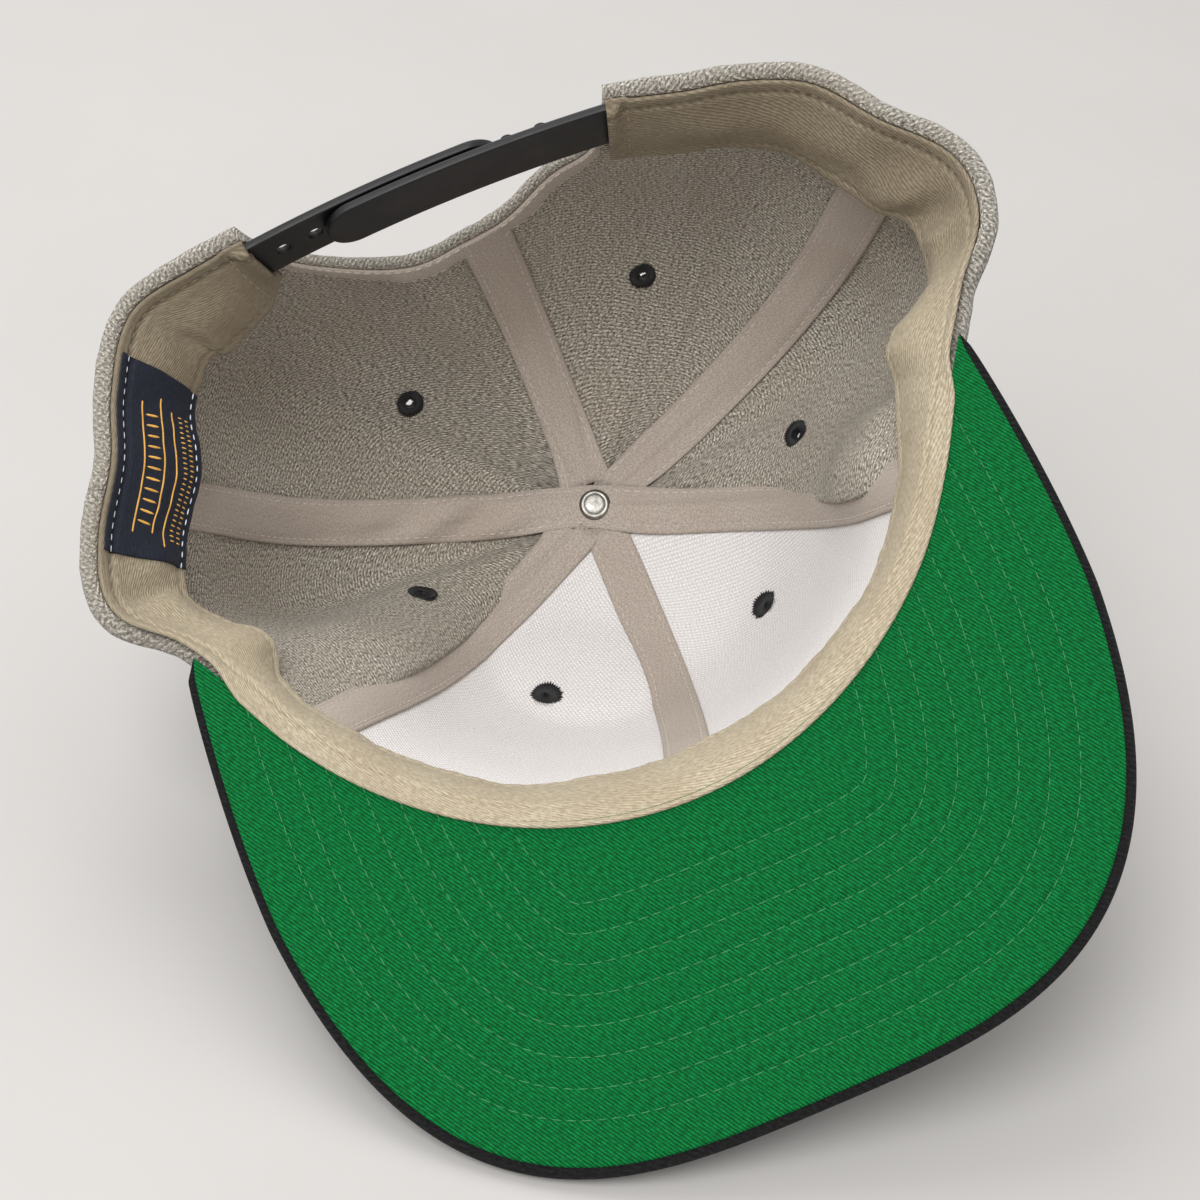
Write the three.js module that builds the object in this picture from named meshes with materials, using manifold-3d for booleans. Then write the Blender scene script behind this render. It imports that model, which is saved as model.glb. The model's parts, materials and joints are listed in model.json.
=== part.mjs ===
// A snapback cap: six wool panels, a flat visor and a snap closure, lying on its crown and visor edge.
// Millimetres. The cap is shaped as it is worn: +X the wearer's right, +Y the visor, +Z the top button.
// The finished cap is then turned over and tipped, and the origin goes under the middle of its box.
import * as THREE from 'three'
import { mergeVertices } from 'three/addons/utils/BufferGeometryUtils.js'
import Module from 'manifold-3d'

const wasm = await Module()
wasm.setup()

// Crown
const crownReach = 100
const crownHeight = 114.8
const topAside = 5.3
const topAhead = -8.8
const topHole = 6
const woolThick = 1.6
const hemThick = 2.8
const hemTall = 9
const seamGap = 0.3
const layerGap = 0.3

// Front stiffener, tapes and band
const buckramThick = 0.9
const tapeThick = 0.9
const tapeWide = 12
const tapeStart = 9
const tapeStandOff = 0.9
const tapeTopClear = 16.8
const archTapeWide = 7
const archTapeInset = 0.8
const bandTall = 32
const bandBendShare = 0.64
const bandThick = 1.2
const bandStandOff = 3.4
const bandFootOff = 1.4
const pocketDepth = 4
const labelThick = 0.8
const labelInset = 1

// Visor
const visorHalfWidth = 93.3
const visorReach = 149.2
const visorSquareness = 3.25
const visorPitch = 4.93
const visorShoulder = 0.45
const visorSweep = 0.6
const coverThick = 2.4
const undervisorThick = 1.1
const edgeLip = 2

// Opening at the back and the snap closure
const archRise = 48
const archSquareness = 3
const archShoulder = 2.2
const strapWide = 14
const strapThick = 2
const strapTuck = 3.4
const strapLean = 7.3
const strapLift = 0.5
const strapInset = 1.3
const snapPitch = 8
const holeCount = 7
const pegCount = 7
const firstHole = 7.5
const fastenedAt = 2
const holeTip = 5.5
const pegTip = 5.5
const pegRadius = 1.6
const snapHoleRadius = 2.1
const pegHeadRadius = 1.9
const pegHeadTall = 1
const pegProud = 0.6
const strapTipRadius = 7

// Eyelets, button and rivet
const eyeletRadius = 3.5
const eyeletBore = 1.7
const eyeletProud = 0.6
const buttonRadius = 8.5
const buttonTall = 4.5
const rivetRadius = 4.2
const rivetTall = 1.6
const rivetOff = 0.7

// Turned sections: share across, and share of the height or of the depth to the outside or inside face
const eyeletProfile = [
  { across: 0, outside: 0.6 }, { across: 0.5, outside: 1 }, { across: 1, outside: 0.8 },
  { across: 1, inside: 0.5 }, { across: 0.5, inside: 1 }, { across: 0, inside: 0.4 },
]
const buttonProfile = [
  { across: 1, up: 0 }, { across: 1, up: 0.4 }, { across: 0.78, up: 0.85 }, { across: 0.4, up: 1 },
  { across: 0, up: 1 },
]
const rivetProfile = [
  { across: 0, up: 0 }, { across: 1, up: 0 }, { across: 1, up: 0.45 }, { across: 0.7, up: 0.9 },
  { across: 0, up: 1 },
]

// Facets
const panelColumns = 8
const crownRowSteps = 14
const centreBackTapeSteps = 8
const bandColumns = 66
const labelColumns = 8
const archTapeSteps = 24
const visorEdgeSteps = 44
const visorRimSteps = 30
const eyeletSides = 12
const buttonSides = 20
const rivetSides = 16
const pegSides = 10
// Panel columns beside a corner of the opening, as shares from the corner to the panel's end
const wallShares = [1, 0.85, 0.68, 0.52, 0.37, 0.24, 0.12, 0]
const archShares = [0.04, 0.1, 0.2, 0.38, 0.65, 1]

// How it lies: the turn on the floor, the roll to its left, and how far the crown is pressed flat
const restTurn = 30.9
const restRoll = 25.2
const restPress = 4

// Rim seen from above: direction from the front, and reach as a share of crownReach
const rimRows = [
  { at: 0, reach: 0.828 }, { at: 30, reach: 0.82 }, { at: 45, reach: 0.822 }, { at: 62, reach: 0.832 },
  { at: 75, reach: 0.865 }, { at: 86, reach: 0.945 }, { at: 94, reach: 1.05 }, { at: 102, reach: 1.08 },
  { at: 112, reach: 1.02 }, { at: 122, reach: 0.998 }, { at: 130, reach: 0.935 }, { at: 138, reach: 0.86 },
  { at: 149, reach: 0.805 }, { at: 165, reach: 0.735 }, { at: 180, reach: 0.71 }, { at: 195, reach: 0.72 },
  { at: 212, reach: 0.853 }, { at: 219, reach: 0.915 }, { at: 228, reach: 1 }, { at: 240, reach: 0.985 },
  { at: 249, reach: 0.965 }, { at: 259, reach: 1 }, { at: 266, reach: 1.015 }, { at: 271, reach: 0.99 },
  { at: 277, reach: 0.9 }, { at: 286, reach: 0.85 }, { at: 298, reach: 0.832 }, { at: 315, reach: 0.822 },
  { at: 330, reach: 0.822 },
]
// The rim sinks towards the front with the visor and rises towards the back
const rimTurnReach = 14.7
const backRise = 11.3
const backRisePower = 1.3

// The crown's line from rim to top: share along it, share of the height, and share of the rim's reach
const crownRows = [
  { along: 0, up: 0, front: 1, side: 1, back: 1 },
  { along: 0.14, up: 0.15, front: 0.945, side: 0.94, back: 0.955 },
  { along: 0.28, up: 0.3, front: 0.895, side: 0.885, back: 0.91 },
  { along: 0.42, up: 0.46, front: 0.85, side: 0.825, back: 0.87 },
  { along: 0.56, up: 0.62, front: 0.79, side: 0.745, back: 0.8 },
  { along: 0.68, up: 0.755, front: 0.71, side: 0.635, back: 0.7 },
  { along: 0.78, up: 0.85, front: 0.61, side: 0.52, back: 0.58 },
  { along: 0.88, up: 0.93, front: 0.43, side: 0.36, back: 0.41 },
  { along: 0.95, up: 0.975, front: 0.25, side: 0.2, back: 0.24 },
  { along: 1, up: 1, front: 0, side: 0, back: 0 },
]
// Folds and dents of the soft panels: middle, half spread, and push outwards as a share of crownReach
const foldRows = [
  { at: 291, along: 0.52, wide: 11, tall: 0.22, push: -0.055 },
  { at: 262, along: 0.62, wide: 16, tall: 0.2, push: 0.035 },
  { at: 67, along: 0.4, wide: 9, tall: 0.16, push: -0.045 },
  { at: 88, along: 0.42, wide: 12, tall: 0.18, push: 0.035 },
  { at: 146, along: 0.52, wide: 16, tall: 0.2, push: 0.035 },
  { at: 160, along: 0.33, wide: 9, tall: 0.14, push: 0.05 },
  { at: 215, along: 0.45, wide: 14, tall: 0.2, push: 0.02 },
]
const foldCentreShare = 0.3

// Seams between the panels, and the corners of the back opening
const seams = {
  centreFront: 0, rightFront: 60, rightRear: 109, centreBack: 177, leftRear: 253, leftFront: 299,
}
const archFrom = 149
const archTo = 212
// Eyelets: direction and share along the crown
const eyeletRows = [
  { name: 'front_right', at: 34, along: 0.7 }, { name: 'front_left', at: 327, along: 0.7 },
  { name: 'side_right', at: 82, along: 0.7 }, { name: 'side_left', at: 280, along: 0.73 },
  { name: 'back_right', at: 143, along: 0.66 }, { name: 'back_left', at: 218, along: 0.75 },
]
const bandFrom = archTo - 360
const pocketReach = 9
const labelFrom = -125.5
const labelTo = -97.5
const visorCorner = 80.6
const visorClearFrom = 85
const visorClearTo = 92

const rad = Math.PI / 180
const down = (deg) => Math.tan(deg * rad)
const smooth = (t) => {
  const k = THREE.MathUtils.clamp(t, 0, 1)
  return k * k * (3 - 2 * k)
}
const wrap = (deg) => THREE.MathUtils.euclideanModulo(deg + 180, 360) - 180

function hermite(x, x0, x1, y0, y1, slope0, slope1) {
  const h = x1 - x0
  const t = (x - x0) / h
  const a = 2 * t ** 3 - 3 * t ** 2 + 1
  const b = t ** 3 - 2 * t ** 2 + t
  const c = t ** 3 - t ** 2
  return a * y0 + b * h * slope0 + (1 - a) * y1 + c * h * slope1
}

function rimReach(deg) {
  const x = THREE.MathUtils.euclideanModulo(deg, 360)
  const n = rimRows.length
  let i = n - 1
  while (rimRows[i].at > x) i -= 1
  const at = (k) => rimRows[(k + n) % n].at + 360 * Math.floor(k / n)
  const reach = (k) => rimRows[(k + n) % n].reach
  const slope = (k) => (reach(k + 1) - reach(k - 1)) / (at(k + 1) - at(k - 1))
  return crownReach * hermite(x, at(i), at(i + 1), reach(i), reach(i + 1), slope(i), slope(i + 1))
}

function crownRow(along, column) {
  const n = crownRows.length
  const x = THREE.MathUtils.clamp(along, 0, 1)
  let i = n - 2
  while (crownRows[i].along > x) i -= 1
  const slope = (k) => {
    const lo = crownRows[Math.max(k - 1, 0)]
    const hi = crownRows[Math.min(k + 1, n - 1)]
    return (hi[column] - lo[column]) / (hi.along - lo.along)
  }
  const [lo, hi] = [crownRows[i], crownRows[i + 1]]
  return hermite(x, lo.along, hi.along, lo[column], hi[column], slope(i), slope(i + 1))
}

function rimPoint(deg) {
  const reach = rimReach(deg)
  const x = reach * Math.sin(deg * rad)
  const y = reach * Math.cos(deg * rad)
  const behind = Math.max(rimTurnReach - y, 0) / crownReach
  const z = y > rimTurnReach ? (rimTurnReach - y) * down(visorPitch) : backRise * behind ** backRisePower
  return new THREE.Vector3(x, y, z)
}

// The crown's inner face before it is laid down
function freeCrown(deg, along) {
  const rim = rimPoint(deg)
  const up = crownRow(along, 'up')
  const ahead = Math.cos(deg * rad)
  const front = Math.max(ahead, 0) ** 2
  const back = Math.max(-ahead, 0) ** 2
  const reach = front * crownRow(along, 'front') + back * crownRow(along, 'back')
    + (1 - front - back) * crownRow(along, 'side')
  const p = new THREE.Vector3(
    rim.x * reach + topAside * up,
    rim.y * reach + topAhead * up,
    rim.z + (crownHeight - rim.z) * up,
  )
  const out = p.clone().sub(new THREE.Vector3(0, 0, crownHeight * foldCentreShare)).normalize()
  for (const fold of foldRows) {
    const spread = (wrap(deg - fold.at) / fold.wide) ** 2 + ((along - fold.along) / fold.tall) ** 2
    p.addScaledVector(out, fold.push * crownReach * Math.exp(-spread))
  }
  return p
}

// Visor outline on its own plane, from the left corner round the front to the right corner
function visorEdge(share, inset = 0) {
  const angle = (share - 0.5) * Math.PI
  const power = 2 / visorSquareness
  const ahead = Math.abs(Math.cos(angle)) ** power
  const corner = rimPoint(visorCorner)
  const narrow = corner.x / visorHalfWidth
  const sweep = Math.min(ahead / visorShoulder, 1) ** visorSweep
  const half = visorHalfWidth * (narrow + (1 - narrow) * sweep) - inset
  const x = Math.sign(angle) * Math.abs(Math.sin(angle)) ** power * half
  return new THREE.Vector2(x, corner.y + ahead * (visorReach - corner.y - inset))
}

const visorThick = undervisorThick + layerGap + coverThick

// The floor in the worn frame: the cap is leant until its crown would press restPress into the floor
function turnFor(lean) {
  return new THREE.Euler(lean * rad, restRoll * rad, restTurn * rad, 'ZXY')
}
function floorFor(lean) {
  const turn = new THREE.Quaternion().setFromEuler(turnFor(lean)).invert()
  const towards = new THREE.Vector3(0, 0, -1).applyQuaternion(turn)
  let level = -Infinity
  for (let share = 0; share <= 1; share += 1 / 96) {
    const edge = visorEdge(share)
    const p = new THREE.Vector3(edge.x, edge.y - rimTurnReach, visorThick)
    p.applyAxisAngle(new THREE.Vector3(1, 0, 0), -visorPitch * rad).y += rimTurnReach
    level = Math.max(level, towards.dot(p))
  }
  return { towards, level }
}
function pressFor(lean) {
  const { towards, level } = floorFor(lean)
  let deepest = -Infinity
  for (let deg = -90; deg <= 90; deg += 3) {
    for (let along = 0.3; along <= 1; along += 0.02) {
      deepest = Math.max(deepest, towards.dot(freeCrown(deg, along)))
    }
  }
  return deepest + woolThick - level
}
function findLean() {
  let upright = -160
  let tipped = -120
  for (let step = 0; step < 30; step += 1) {
    const middle = (upright + tipped) / 2
    if (pressFor(middle) > restPress) upright = middle
    else tipped = middle
  }
  return (upright + tipped) / 2
}
const restLean = findLean()
const floor = floorFor(restLean)

// The crown's inner face as it lies, flat where its cloth meets the floor
function crown(deg, along) {
  const p = freeCrown(deg, along)
  const over = floor.towards.dot(p) + woolThick - floor.level
  return over > 0 ? p.addScaledVector(floor.towards, -over) : p
}

function crownFacing(deg, along) {
  const step = 0.4
  const rise = 0.004
  const t = Math.min(along, 1 - 3 * rise)
  const across = crown(deg + step, t).sub(crown(deg - step, t))
  const upward = crown(deg, t + rise).sub(crown(deg, Math.max(t - rise, 0)))
  return across.cross(upward).normalize()
}

// A point on the crown at a depth inside its inner face, or outside it where the depth is below 0
function onCrown(deg, along, depth) {
  return crown(deg, along).addScaledVector(crownFacing(deg, along), depth)
}

function runLength(deg) {
  let length = 0
  const steps = 24
  for (let i = 0; i < steps; i += 1) {
    length += freeCrown(deg, i / steps).distanceTo(freeCrown(deg, (i + 1) / steps))
  }
  return length
}
const rise = (deg, tall) => tall / runLength(deg)

// The turn in degrees that moves a point of the crown sideways
function aside(deg, along, distance) {
  const p = crown(deg, along)
  const top = crown(deg, 1)
  const radius = Math.hypot(p.x - top.x, p.y - top.y)
  return Math.asin(THREE.MathUtils.clamp(distance / radius, -0.9, 0.9)) / rad
}

// Closed wall between two grids of points
function slab(inner, outer) {
  const rows = inner.length
  const columns = inner[0].length
  const points = [...inner.flat(), ...outer.flat()]
  const index = []
  const id = (side, i, j) => side * rows * columns + i * columns + j
  const quad = (a, b, c, d) => index.push(a, b, c, a, c, d)
  for (let i = 0; i < rows - 1; i += 1) {
    for (let j = 0; j < columns - 1; j += 1) {
      quad(id(0, i, j), id(0, i, j + 1), id(0, i + 1, j + 1), id(0, i + 1, j))
      quad(id(1, i, j), id(1, i + 1, j), id(1, i + 1, j + 1), id(1, i, j + 1))
    }
  }
  for (let j = 0; j < columns - 1; j += 1) {
    quad(id(0, 0, j), id(1, 0, j), id(1, 0, j + 1), id(0, 0, j + 1))
    quad(id(0, rows - 1, j), id(0, rows - 1, j + 1), id(1, rows - 1, j + 1), id(1, rows - 1, j))
  }
  for (let i = 0; i < rows - 1; i += 1) {
    quad(id(0, i, 0), id(0, i + 1, 0), id(1, i + 1, 0), id(1, i, 0))
    const last = columns - 1
    quad(id(0, i, last), id(1, i, last), id(1, i + 1, last), id(0, i + 1, last))
  }
  return outward(meshOf(points, index))
}

function meshOf(points, index) {
  const geometry = new THREE.BufferGeometry()
  const places = points.flatMap((p) => p.toArray())
  geometry.setAttribute('position', new THREE.Float32BufferAttribute(places, 3))
  geometry.setIndex(index)
  return geometry
}

// Turns a closed mesh right side out
function outward(geometry) {
  const p = geometry.attributes.position
  const index = geometry.index.array
  const corner = (k) => new THREE.Vector3().fromBufferAttribute(p, index[k])
  let volume = 0
  for (let k = 0; k < index.length; k += 3) volume += corner(k).dot(corner(k + 1).cross(corner(k + 2)))
  if (volume < 0) {
    for (let k = 0; k < index.length; k += 3) [index[k + 1], index[k + 2]] = [index[k + 2], index[k + 1]]
  }
  return geometry
}

function toSolid(geometry) {
  const bare = geometry.clone()
  bare.deleteAttribute('normal')
  bare.deleteAttribute('uv')
  const merged = mergeVertices(bare, 1e-4)
  return new wasm.Manifold(new wasm.Mesh({
    numProp: 3,
    vertProperties: new Float32Array(merged.attributes.position.array),
    triVerts: new Uint32Array(merged.index.array),
  }))
}
function toGeometry(solid) {
  const mesh = solid.getMesh()
  const geometry = new THREE.BufferGeometry()
  geometry.setAttribute('position', new THREE.BufferAttribute(mesh.vertProperties, 3))
  geometry.setIndex(new THREE.BufferAttribute(mesh.triVerts, 1))
  return geometry
}
const cut = (geometry, ...tools) => (
  toGeometry(tools.reduce((solid, tool) => solid.subtract(toSolid(tool)), toSolid(geometry)))
)
const join = (geometry, ...more) => (
  toGeometry(more.reduce((solid, part) => solid.add(toSolid(part)), toSolid(geometry)))
)

// Where a panel's lower edge runs, as a share along the crown
function panelStart(deg) {
  const turn = THREE.MathUtils.euclideanModulo(deg, 360)
  if (turn > archFrom && turn < archTo) {
    const across = (2 * turn - archFrom - archTo) / (archTo - archFrom)
    return rise(turn, archRise) * (1 - Math.abs(across) ** archSquareness) ** (1 / archShoulder)
  }
  const visorLift = visorThick + 3 * layerGap
  const clear = smooth((visorClearTo - Math.abs(wrap(deg))) / (visorClearTo - visorClearFrom))
  return clear * rise(deg, visorLift)
}

// Directions across a panel, closer together towards the corners of the back opening
function panelDirections(from, to, count) {
  const corner = from < archFrom && to > archFrom ? archFrom : archTo
  if (!(from < corner && to > corner)) {
    return Array.from({ length: count + 1 }, (_, i) => from + ((to - from) * i) / count)
  }
  const archSide = corner === archFrom ? to : from
  const wallSide = corner === archFrom ? from : to
  const wall = wallShares.map((share) => corner + (wallSide - corner) * share)
  const arch = archShares.map((share) => corner + (archSide - corner) * share)
  const all = [...wall, ...arch]
  return corner === archFrom ? all : all.reverse()
}

// The share along the crown at which it comes within a radius of the top
function shareNearTop(deg, radius) {
  const top = crown(deg, 1)
  let far = 0.7
  let near = 1
  for (let step = 0; step < 24; step += 1) {
    const middle = (far + near) / 2
    const p = crown(deg, middle)
    if (Math.hypot(p.x - top.x, p.y - top.y) > radius) far = middle
    else near = middle
  }
  return near
}

function crownPanel(from, to, innerDepth, outerDepth, columns = panelColumns, rows = crownRowSteps) {
  const directions = panelDirections(from, to, columns)
  const ends = directions.map((deg) => shareNearTop(deg, topHole))
  const inner = []
  const outer = []
  for (let i = 0; i <= rows; i += 1) {
    const innerRow = []
    const outerRow = []
    directions.forEach((deg, j) => {
      const start = panelStart(deg)
      const along = start + (ends[j] - start) * (i / rows)
      const trim = j === 0 ? seamGap / 2 : j === directions.length - 1 ? -seamGap / 2 : 0
      const at = deg + aside(deg, along, trim)
      innerRow.push(onCrown(at, along, innerDepth))
      outerRow.push(onCrown(at, along, -outerDepth(along, start)))
    })
    inner.push(innerRow)
    outer.push(outerRow)
  }
  return slab(inner, outer)
}

function woolDepth(along, start) {
  const hem = 1 - smooth((along - start) / rise(0, hemTall))
  return woolThick + (hemThick - woolThick) * hem
}

// Stands a turned piece square to the crown
function squareToCrown(piece, row) {
  const axis = new THREE.Vector3(0, 1, 0)
  const turn = new THREE.Quaternion().setFromUnitVectors(axis, crownFacing(row.at, row.along))
  piece.applyQuaternion(turn)
  const place = crown(row.at, row.along)
  return piece.isMesh ? piece.position.copy(place) : piece.translate(...place.toArray())
}
function eyeletHole(row) {
  const radius = eyeletRadius + layerGap
  return squareToCrown(new THREE.CylinderGeometry(radius, radius, 4 * hemThick, eyeletSides), row)
}
function eyelet(row) {
  const inFront = Math.abs(wrap(row.at)) < seams.rightFront
  const proud = inFront ? layerGap + buckramThick + eyeletProud : eyeletProud
  const ring = [...eyeletProfile, eyeletProfile[0]].map(({ across, outside, inside }) => {
    const level = inside ? proud * inside : -woolThick * outside
    return new THREE.Vector2(eyeletBore + (eyeletRadius - eyeletBore) * across, level)
  })
  return outward(mergeVertices(plain(new THREE.LatheGeometry(ring, eyeletSides)), 1e-4))
}
function plain(geometry) {
  geometry.deleteAttribute('normal')
  geometry.deleteAttribute('uv')
  return geometry
}

// A tape along a seam, lying over the buckram
const tapeDepth = layerGap + buckramThick + tapeStandOff
function tapeRow(seam, along) {
  return [-1, 0, 1].map((side) => seam + aside(seam, along, (side * tapeWide) / 2))
}
function tapeGrid(seam, start, end, rows, depth) {
  const grid = []
  for (let i = 0; i <= rows; i += 1) {
    const along = start + (end - start) * (i / rows)
    grid.push(tapeRow(seam, along).map((deg) => onCrown(deg, along, depth)))
  }
  return grid
}
function seamTape(seam, start, rows = crownRowSteps) {
  const side = (depth) => tapeGrid(seam, start, shareNearTop(seam, tapeTopClear), rows, depth)
  return slab(side(tapeDepth), side(tapeDepth + tapeThick))
}
// The tape that crosses the top from the left rear seam to the right front seam
function crossTape() {
  const leg = (seam, depth) => (
    tapeGrid(seam, rise(seam, tapeStart), shareNearTop(seam, tapeWide), crownRowSteps, depth)
  )
  const side = (depth) => {
    const from = leg(seams.leftRear, depth)
    const to = leg(seams.rightFront, depth)
    const back = to.reverse().map((row) => row.reverse())
    const across = back[0][2].clone().sub(back[0][0]).setZ(0).normalize()
    const overTop = [-1, 0, 1].map((edge) => crown(0, 1).addScaledVector(across, (edge * tapeWide) / 2))
    for (const p of overTop) p.z -= depth
    return [...from, overTop, ...back]
  }
  return slab(side(tapeDepth), side(tapeDepth + tapeThick))
}
// The tape that binds the edge of the back opening on the inside
function archTape() {
  const grid = (depth) => {
    const rows = [[], []]
    for (let i = 0; i <= archTapeSteps; i += 1) {
      const share = (1 - Math.cos((Math.PI * (i + 3)) / (archTapeSteps + 6))) / 2
      const deg = archFrom + (archTo - archFrom) * share
      const start = panelStart(deg)
      rows[0].push(onCrown(deg, start + rise(deg, archTapeInset), depth))
      rows[1].push(onCrown(deg, start + rise(deg, archTapeInset + archTapeWide), depth))
    }
    return rows
  }
  return slab(grid(3 * layerGap), grid(3 * layerGap + tapeThick))
}

// The sweatband stands off from the crown above the rim, so that the tapes and strap ends lie behind it
function bandDepth(deg, tall) {
  const fromOpening = Math.min(deg - bandFrom, archFrom - deg)
  const wall = bandFootOff + (bandStandOff - bandFootOff) * smooth(tall / tapeStart)
  return wall + (pocketDepth - wall) * smooth((pocketReach - fromOpening) / (pocketReach / 2))
}
function bandGrid(from, to, columns, talls, extra) {
  return talls.map((tall) => Array.from({ length: columns + 1 }, (_, j) => {
    const deg = from + ((to - from) * j) / columns
    return onCrown(deg, rise(deg, tall), bandDepth(deg, tall) + extra)
  }))
}
function sweatband() {
  const talls = [0, tapeStart, bandTall * bandBendShare, bandTall]
  const side = (depth) => bandGrid(bandFrom, archFrom, bandColumns, talls, depth)
  return slab(side(0), side(bandThick))
}
function wovenLabel() {
  const depth = bandThick + 2 * layerGap
  const talls = [labelInset, tapeStart, bandTall * bandBendShare, bandTall - labelInset]
  const side = (at) => bandGrid(labelFrom, labelTo, labelColumns, talls, at)
  return slab(side(depth), side(depth + labelThick))
}

// Visor plates lie under the front panels and meet the band along the rim
function visorPlate(inset, thick, above) {
  const shape = new THREE.Shape()
  for (let i = 0; i <= visorEdgeSteps; i += 1) {
    const p = visorEdge(i / visorEdgeSteps, inset)
    if (i === 0) shape.moveTo(p.x, p.y)
    else shape.lineTo(p.x, p.y)
  }
  const corner = visorCorner - (inset / crownReach) / rad
  for (let i = 1; i < visorRimSteps; i += 1) {
    const p = rimPoint(corner - (2 * corner * i) / visorRimSteps)
    shape.lineTo(p.x, p.y)
  }
  const plate = new THREE.ExtrudeGeometry(shape, { depth: thick, bevelEnabled: false })
  plate.translate(0, -rimTurnReach, above).rotateX(-visorPitch * rad).translate(0, rimTurnReach, 0)
  return plate
}

// A snap strap lies along X from its sewn end at 0 to its round tip, with its Y face at 0
function strapPlate(length, holeAt = []) {
  const shape = new THREE.Shape()
  shape.moveTo(0, 0)
  shape.lineTo(length - strapTipRadius, 0)
  shape.absarc(length - strapTipRadius, strapWide / 2, strapTipRadius, -Math.PI / 2, Math.PI / 2, false)
  shape.lineTo(0, strapWide)
  for (const x of holeAt) {
    const hole = new THREE.Path()
    hole.absarc(x, strapWide / 2, snapHoleRadius, 0, 2 * Math.PI, true)
    shape.holes.push(hole)
  }
  const how = { depth: strapThick, bevelEnabled: false, curveSegments: pegSides }
  const plate = new THREE.ExtrudeGeometry(shape, how)
  return plate.rotateX(Math.PI / 2)
}

const strapEndLeft = crown(archTo, 0)
const strapEndRight = crown(archFrom, 0)
const strapSpan = strapEndLeft.distanceTo(strapEndRight)
const strapAlong = strapEndRight.clone().sub(strapEndLeft).normalize()
const strapInward = new THREE.Vector3(0, 0, 1).cross(strapAlong).normalize()
const strapSplay = Math.asin((strapThick + 2 * layerGap) / strapSpan)

// Holes and pegs meet where the strap is fastened, counted from the left end of the opening
const holeFromEnd = Array.from({ length: holeCount }, (_, i) => firstHole + i * snapPitch)
const pegFromEnd = Array.from({ length: pegCount }, (_, i) => firstHole + (fastenedAt + i) * snapPitch)

function strapWithHoles() {
  const length = strapTuck + holeFromEnd[holeCount - 1] + holeTip
  return strapPlate(length, holeFromEnd.map((x) => strapTuck + x))
}

function strapWithPegs() {
  const length = strapTuck + strapSpan - pegFromEnd[0] + pegTip
  const reach = layerGap + strapThick + pegProud
  const pegs = pegFromEnd.flatMap((fromLeft) => {
    const x = strapTuck + strapSpan - fromLeft
    const shaft = new THREE.CylinderGeometry(pegRadius, pegRadius, reach + strapThick / 2, pegSides)
    const head = new THREE.CylinderGeometry(pegRadius, pegHeadRadius, pegHeadTall, pegSides)
    return [
      shaft.translate(x, (reach - strapThick / 2) / 2, strapWide / 2),
      head.translate(x, reach + pegHeadTall / 2, strapWide / 2),
    ]
  })
  return join(strapPlate(length), ...pegs)
}

// Stands a strap in the pocket between the crown and the band at one end of the opening
function layStrap(mesh, end, along, faceDepth) {
  const up = new THREE.Vector3(0, 0, 1).applyAxisAngle(strapAlong, -strapLean * rad)
  const heading = along.clone().applyAxisAngle(up, -strapSplay)
  up.addScaledVector(heading, -up.dot(heading)).normalize()
  const across = up.clone().cross(heading)
  mesh.quaternion.setFromRotationMatrix(new THREE.Matrix4().makeBasis(heading, across, up))
  mesh.position.copy(end).addScaledVector(strapInward, faceDepth)
    .addScaledVector(heading, -strapTuck).addScaledVector(up, strapLift)
  return mesh
}

// Button outside the top and rivet head inside it, both turned about +Y
function topButton() {
  const seat = woolThick + layerGap
  const boss = topHole - 2 * layerGap
  const stem = [new THREE.Vector2(0, -buckramThick), new THREE.Vector2(boss, -buckramThick)]
  const cover = buttonProfile.map(({ across, up }) => (
    new THREE.Vector2(buttonRadius * across, seat + buttonTall * up)
  ))
  const section = [...stem, new THREE.Vector2(boss, seat), ...cover]
  return outward(mergeVertices(plain(new THREE.LatheGeometry(section, buttonSides)), 1e-4))
}
function buttonRivet() {
  const section = rivetProfile.map(({ across, up }) => (
    new THREE.Vector2(rivetRadius * across, rivetTall * up)
  ))
  return outward(mergeVertices(plain(new THREE.LatheGeometry(section, rivetSides)), 1e-4))
}

function finish(color, roughness, metalness = 0) {
  return new THREE.MeshStandardMaterial({ color, roughness, metalness })
}
const greyWool = finish(0xa39f97, 0.95)
const blackWool = finish(0x1b1b1c, 0.95)
const whiteBuckram = finish(0xdedad8, 0.85)
const taupeTape = finish(0xa59c93, 0.85)
const creamTwill = finish(0xc3b79c, 0.85)
const greenTwill = finish(0x0a7d3c, 0.85)
const navyWeave = finish(0x1b2233, 0.8)
const blackThread = finish(0x0d0d0e, 0.8)
const blackPlastic = finish(0x161618, 0.35)
const silver = finish(0xb9b9b9, 0.3, 1)

const cap = new THREE.Group()
function add(name, geometry, material) {
  const mesh = new THREE.Mesh(geometry, material)
  mesh.name = name
  cap.add(mesh)
  return mesh
}

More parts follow.
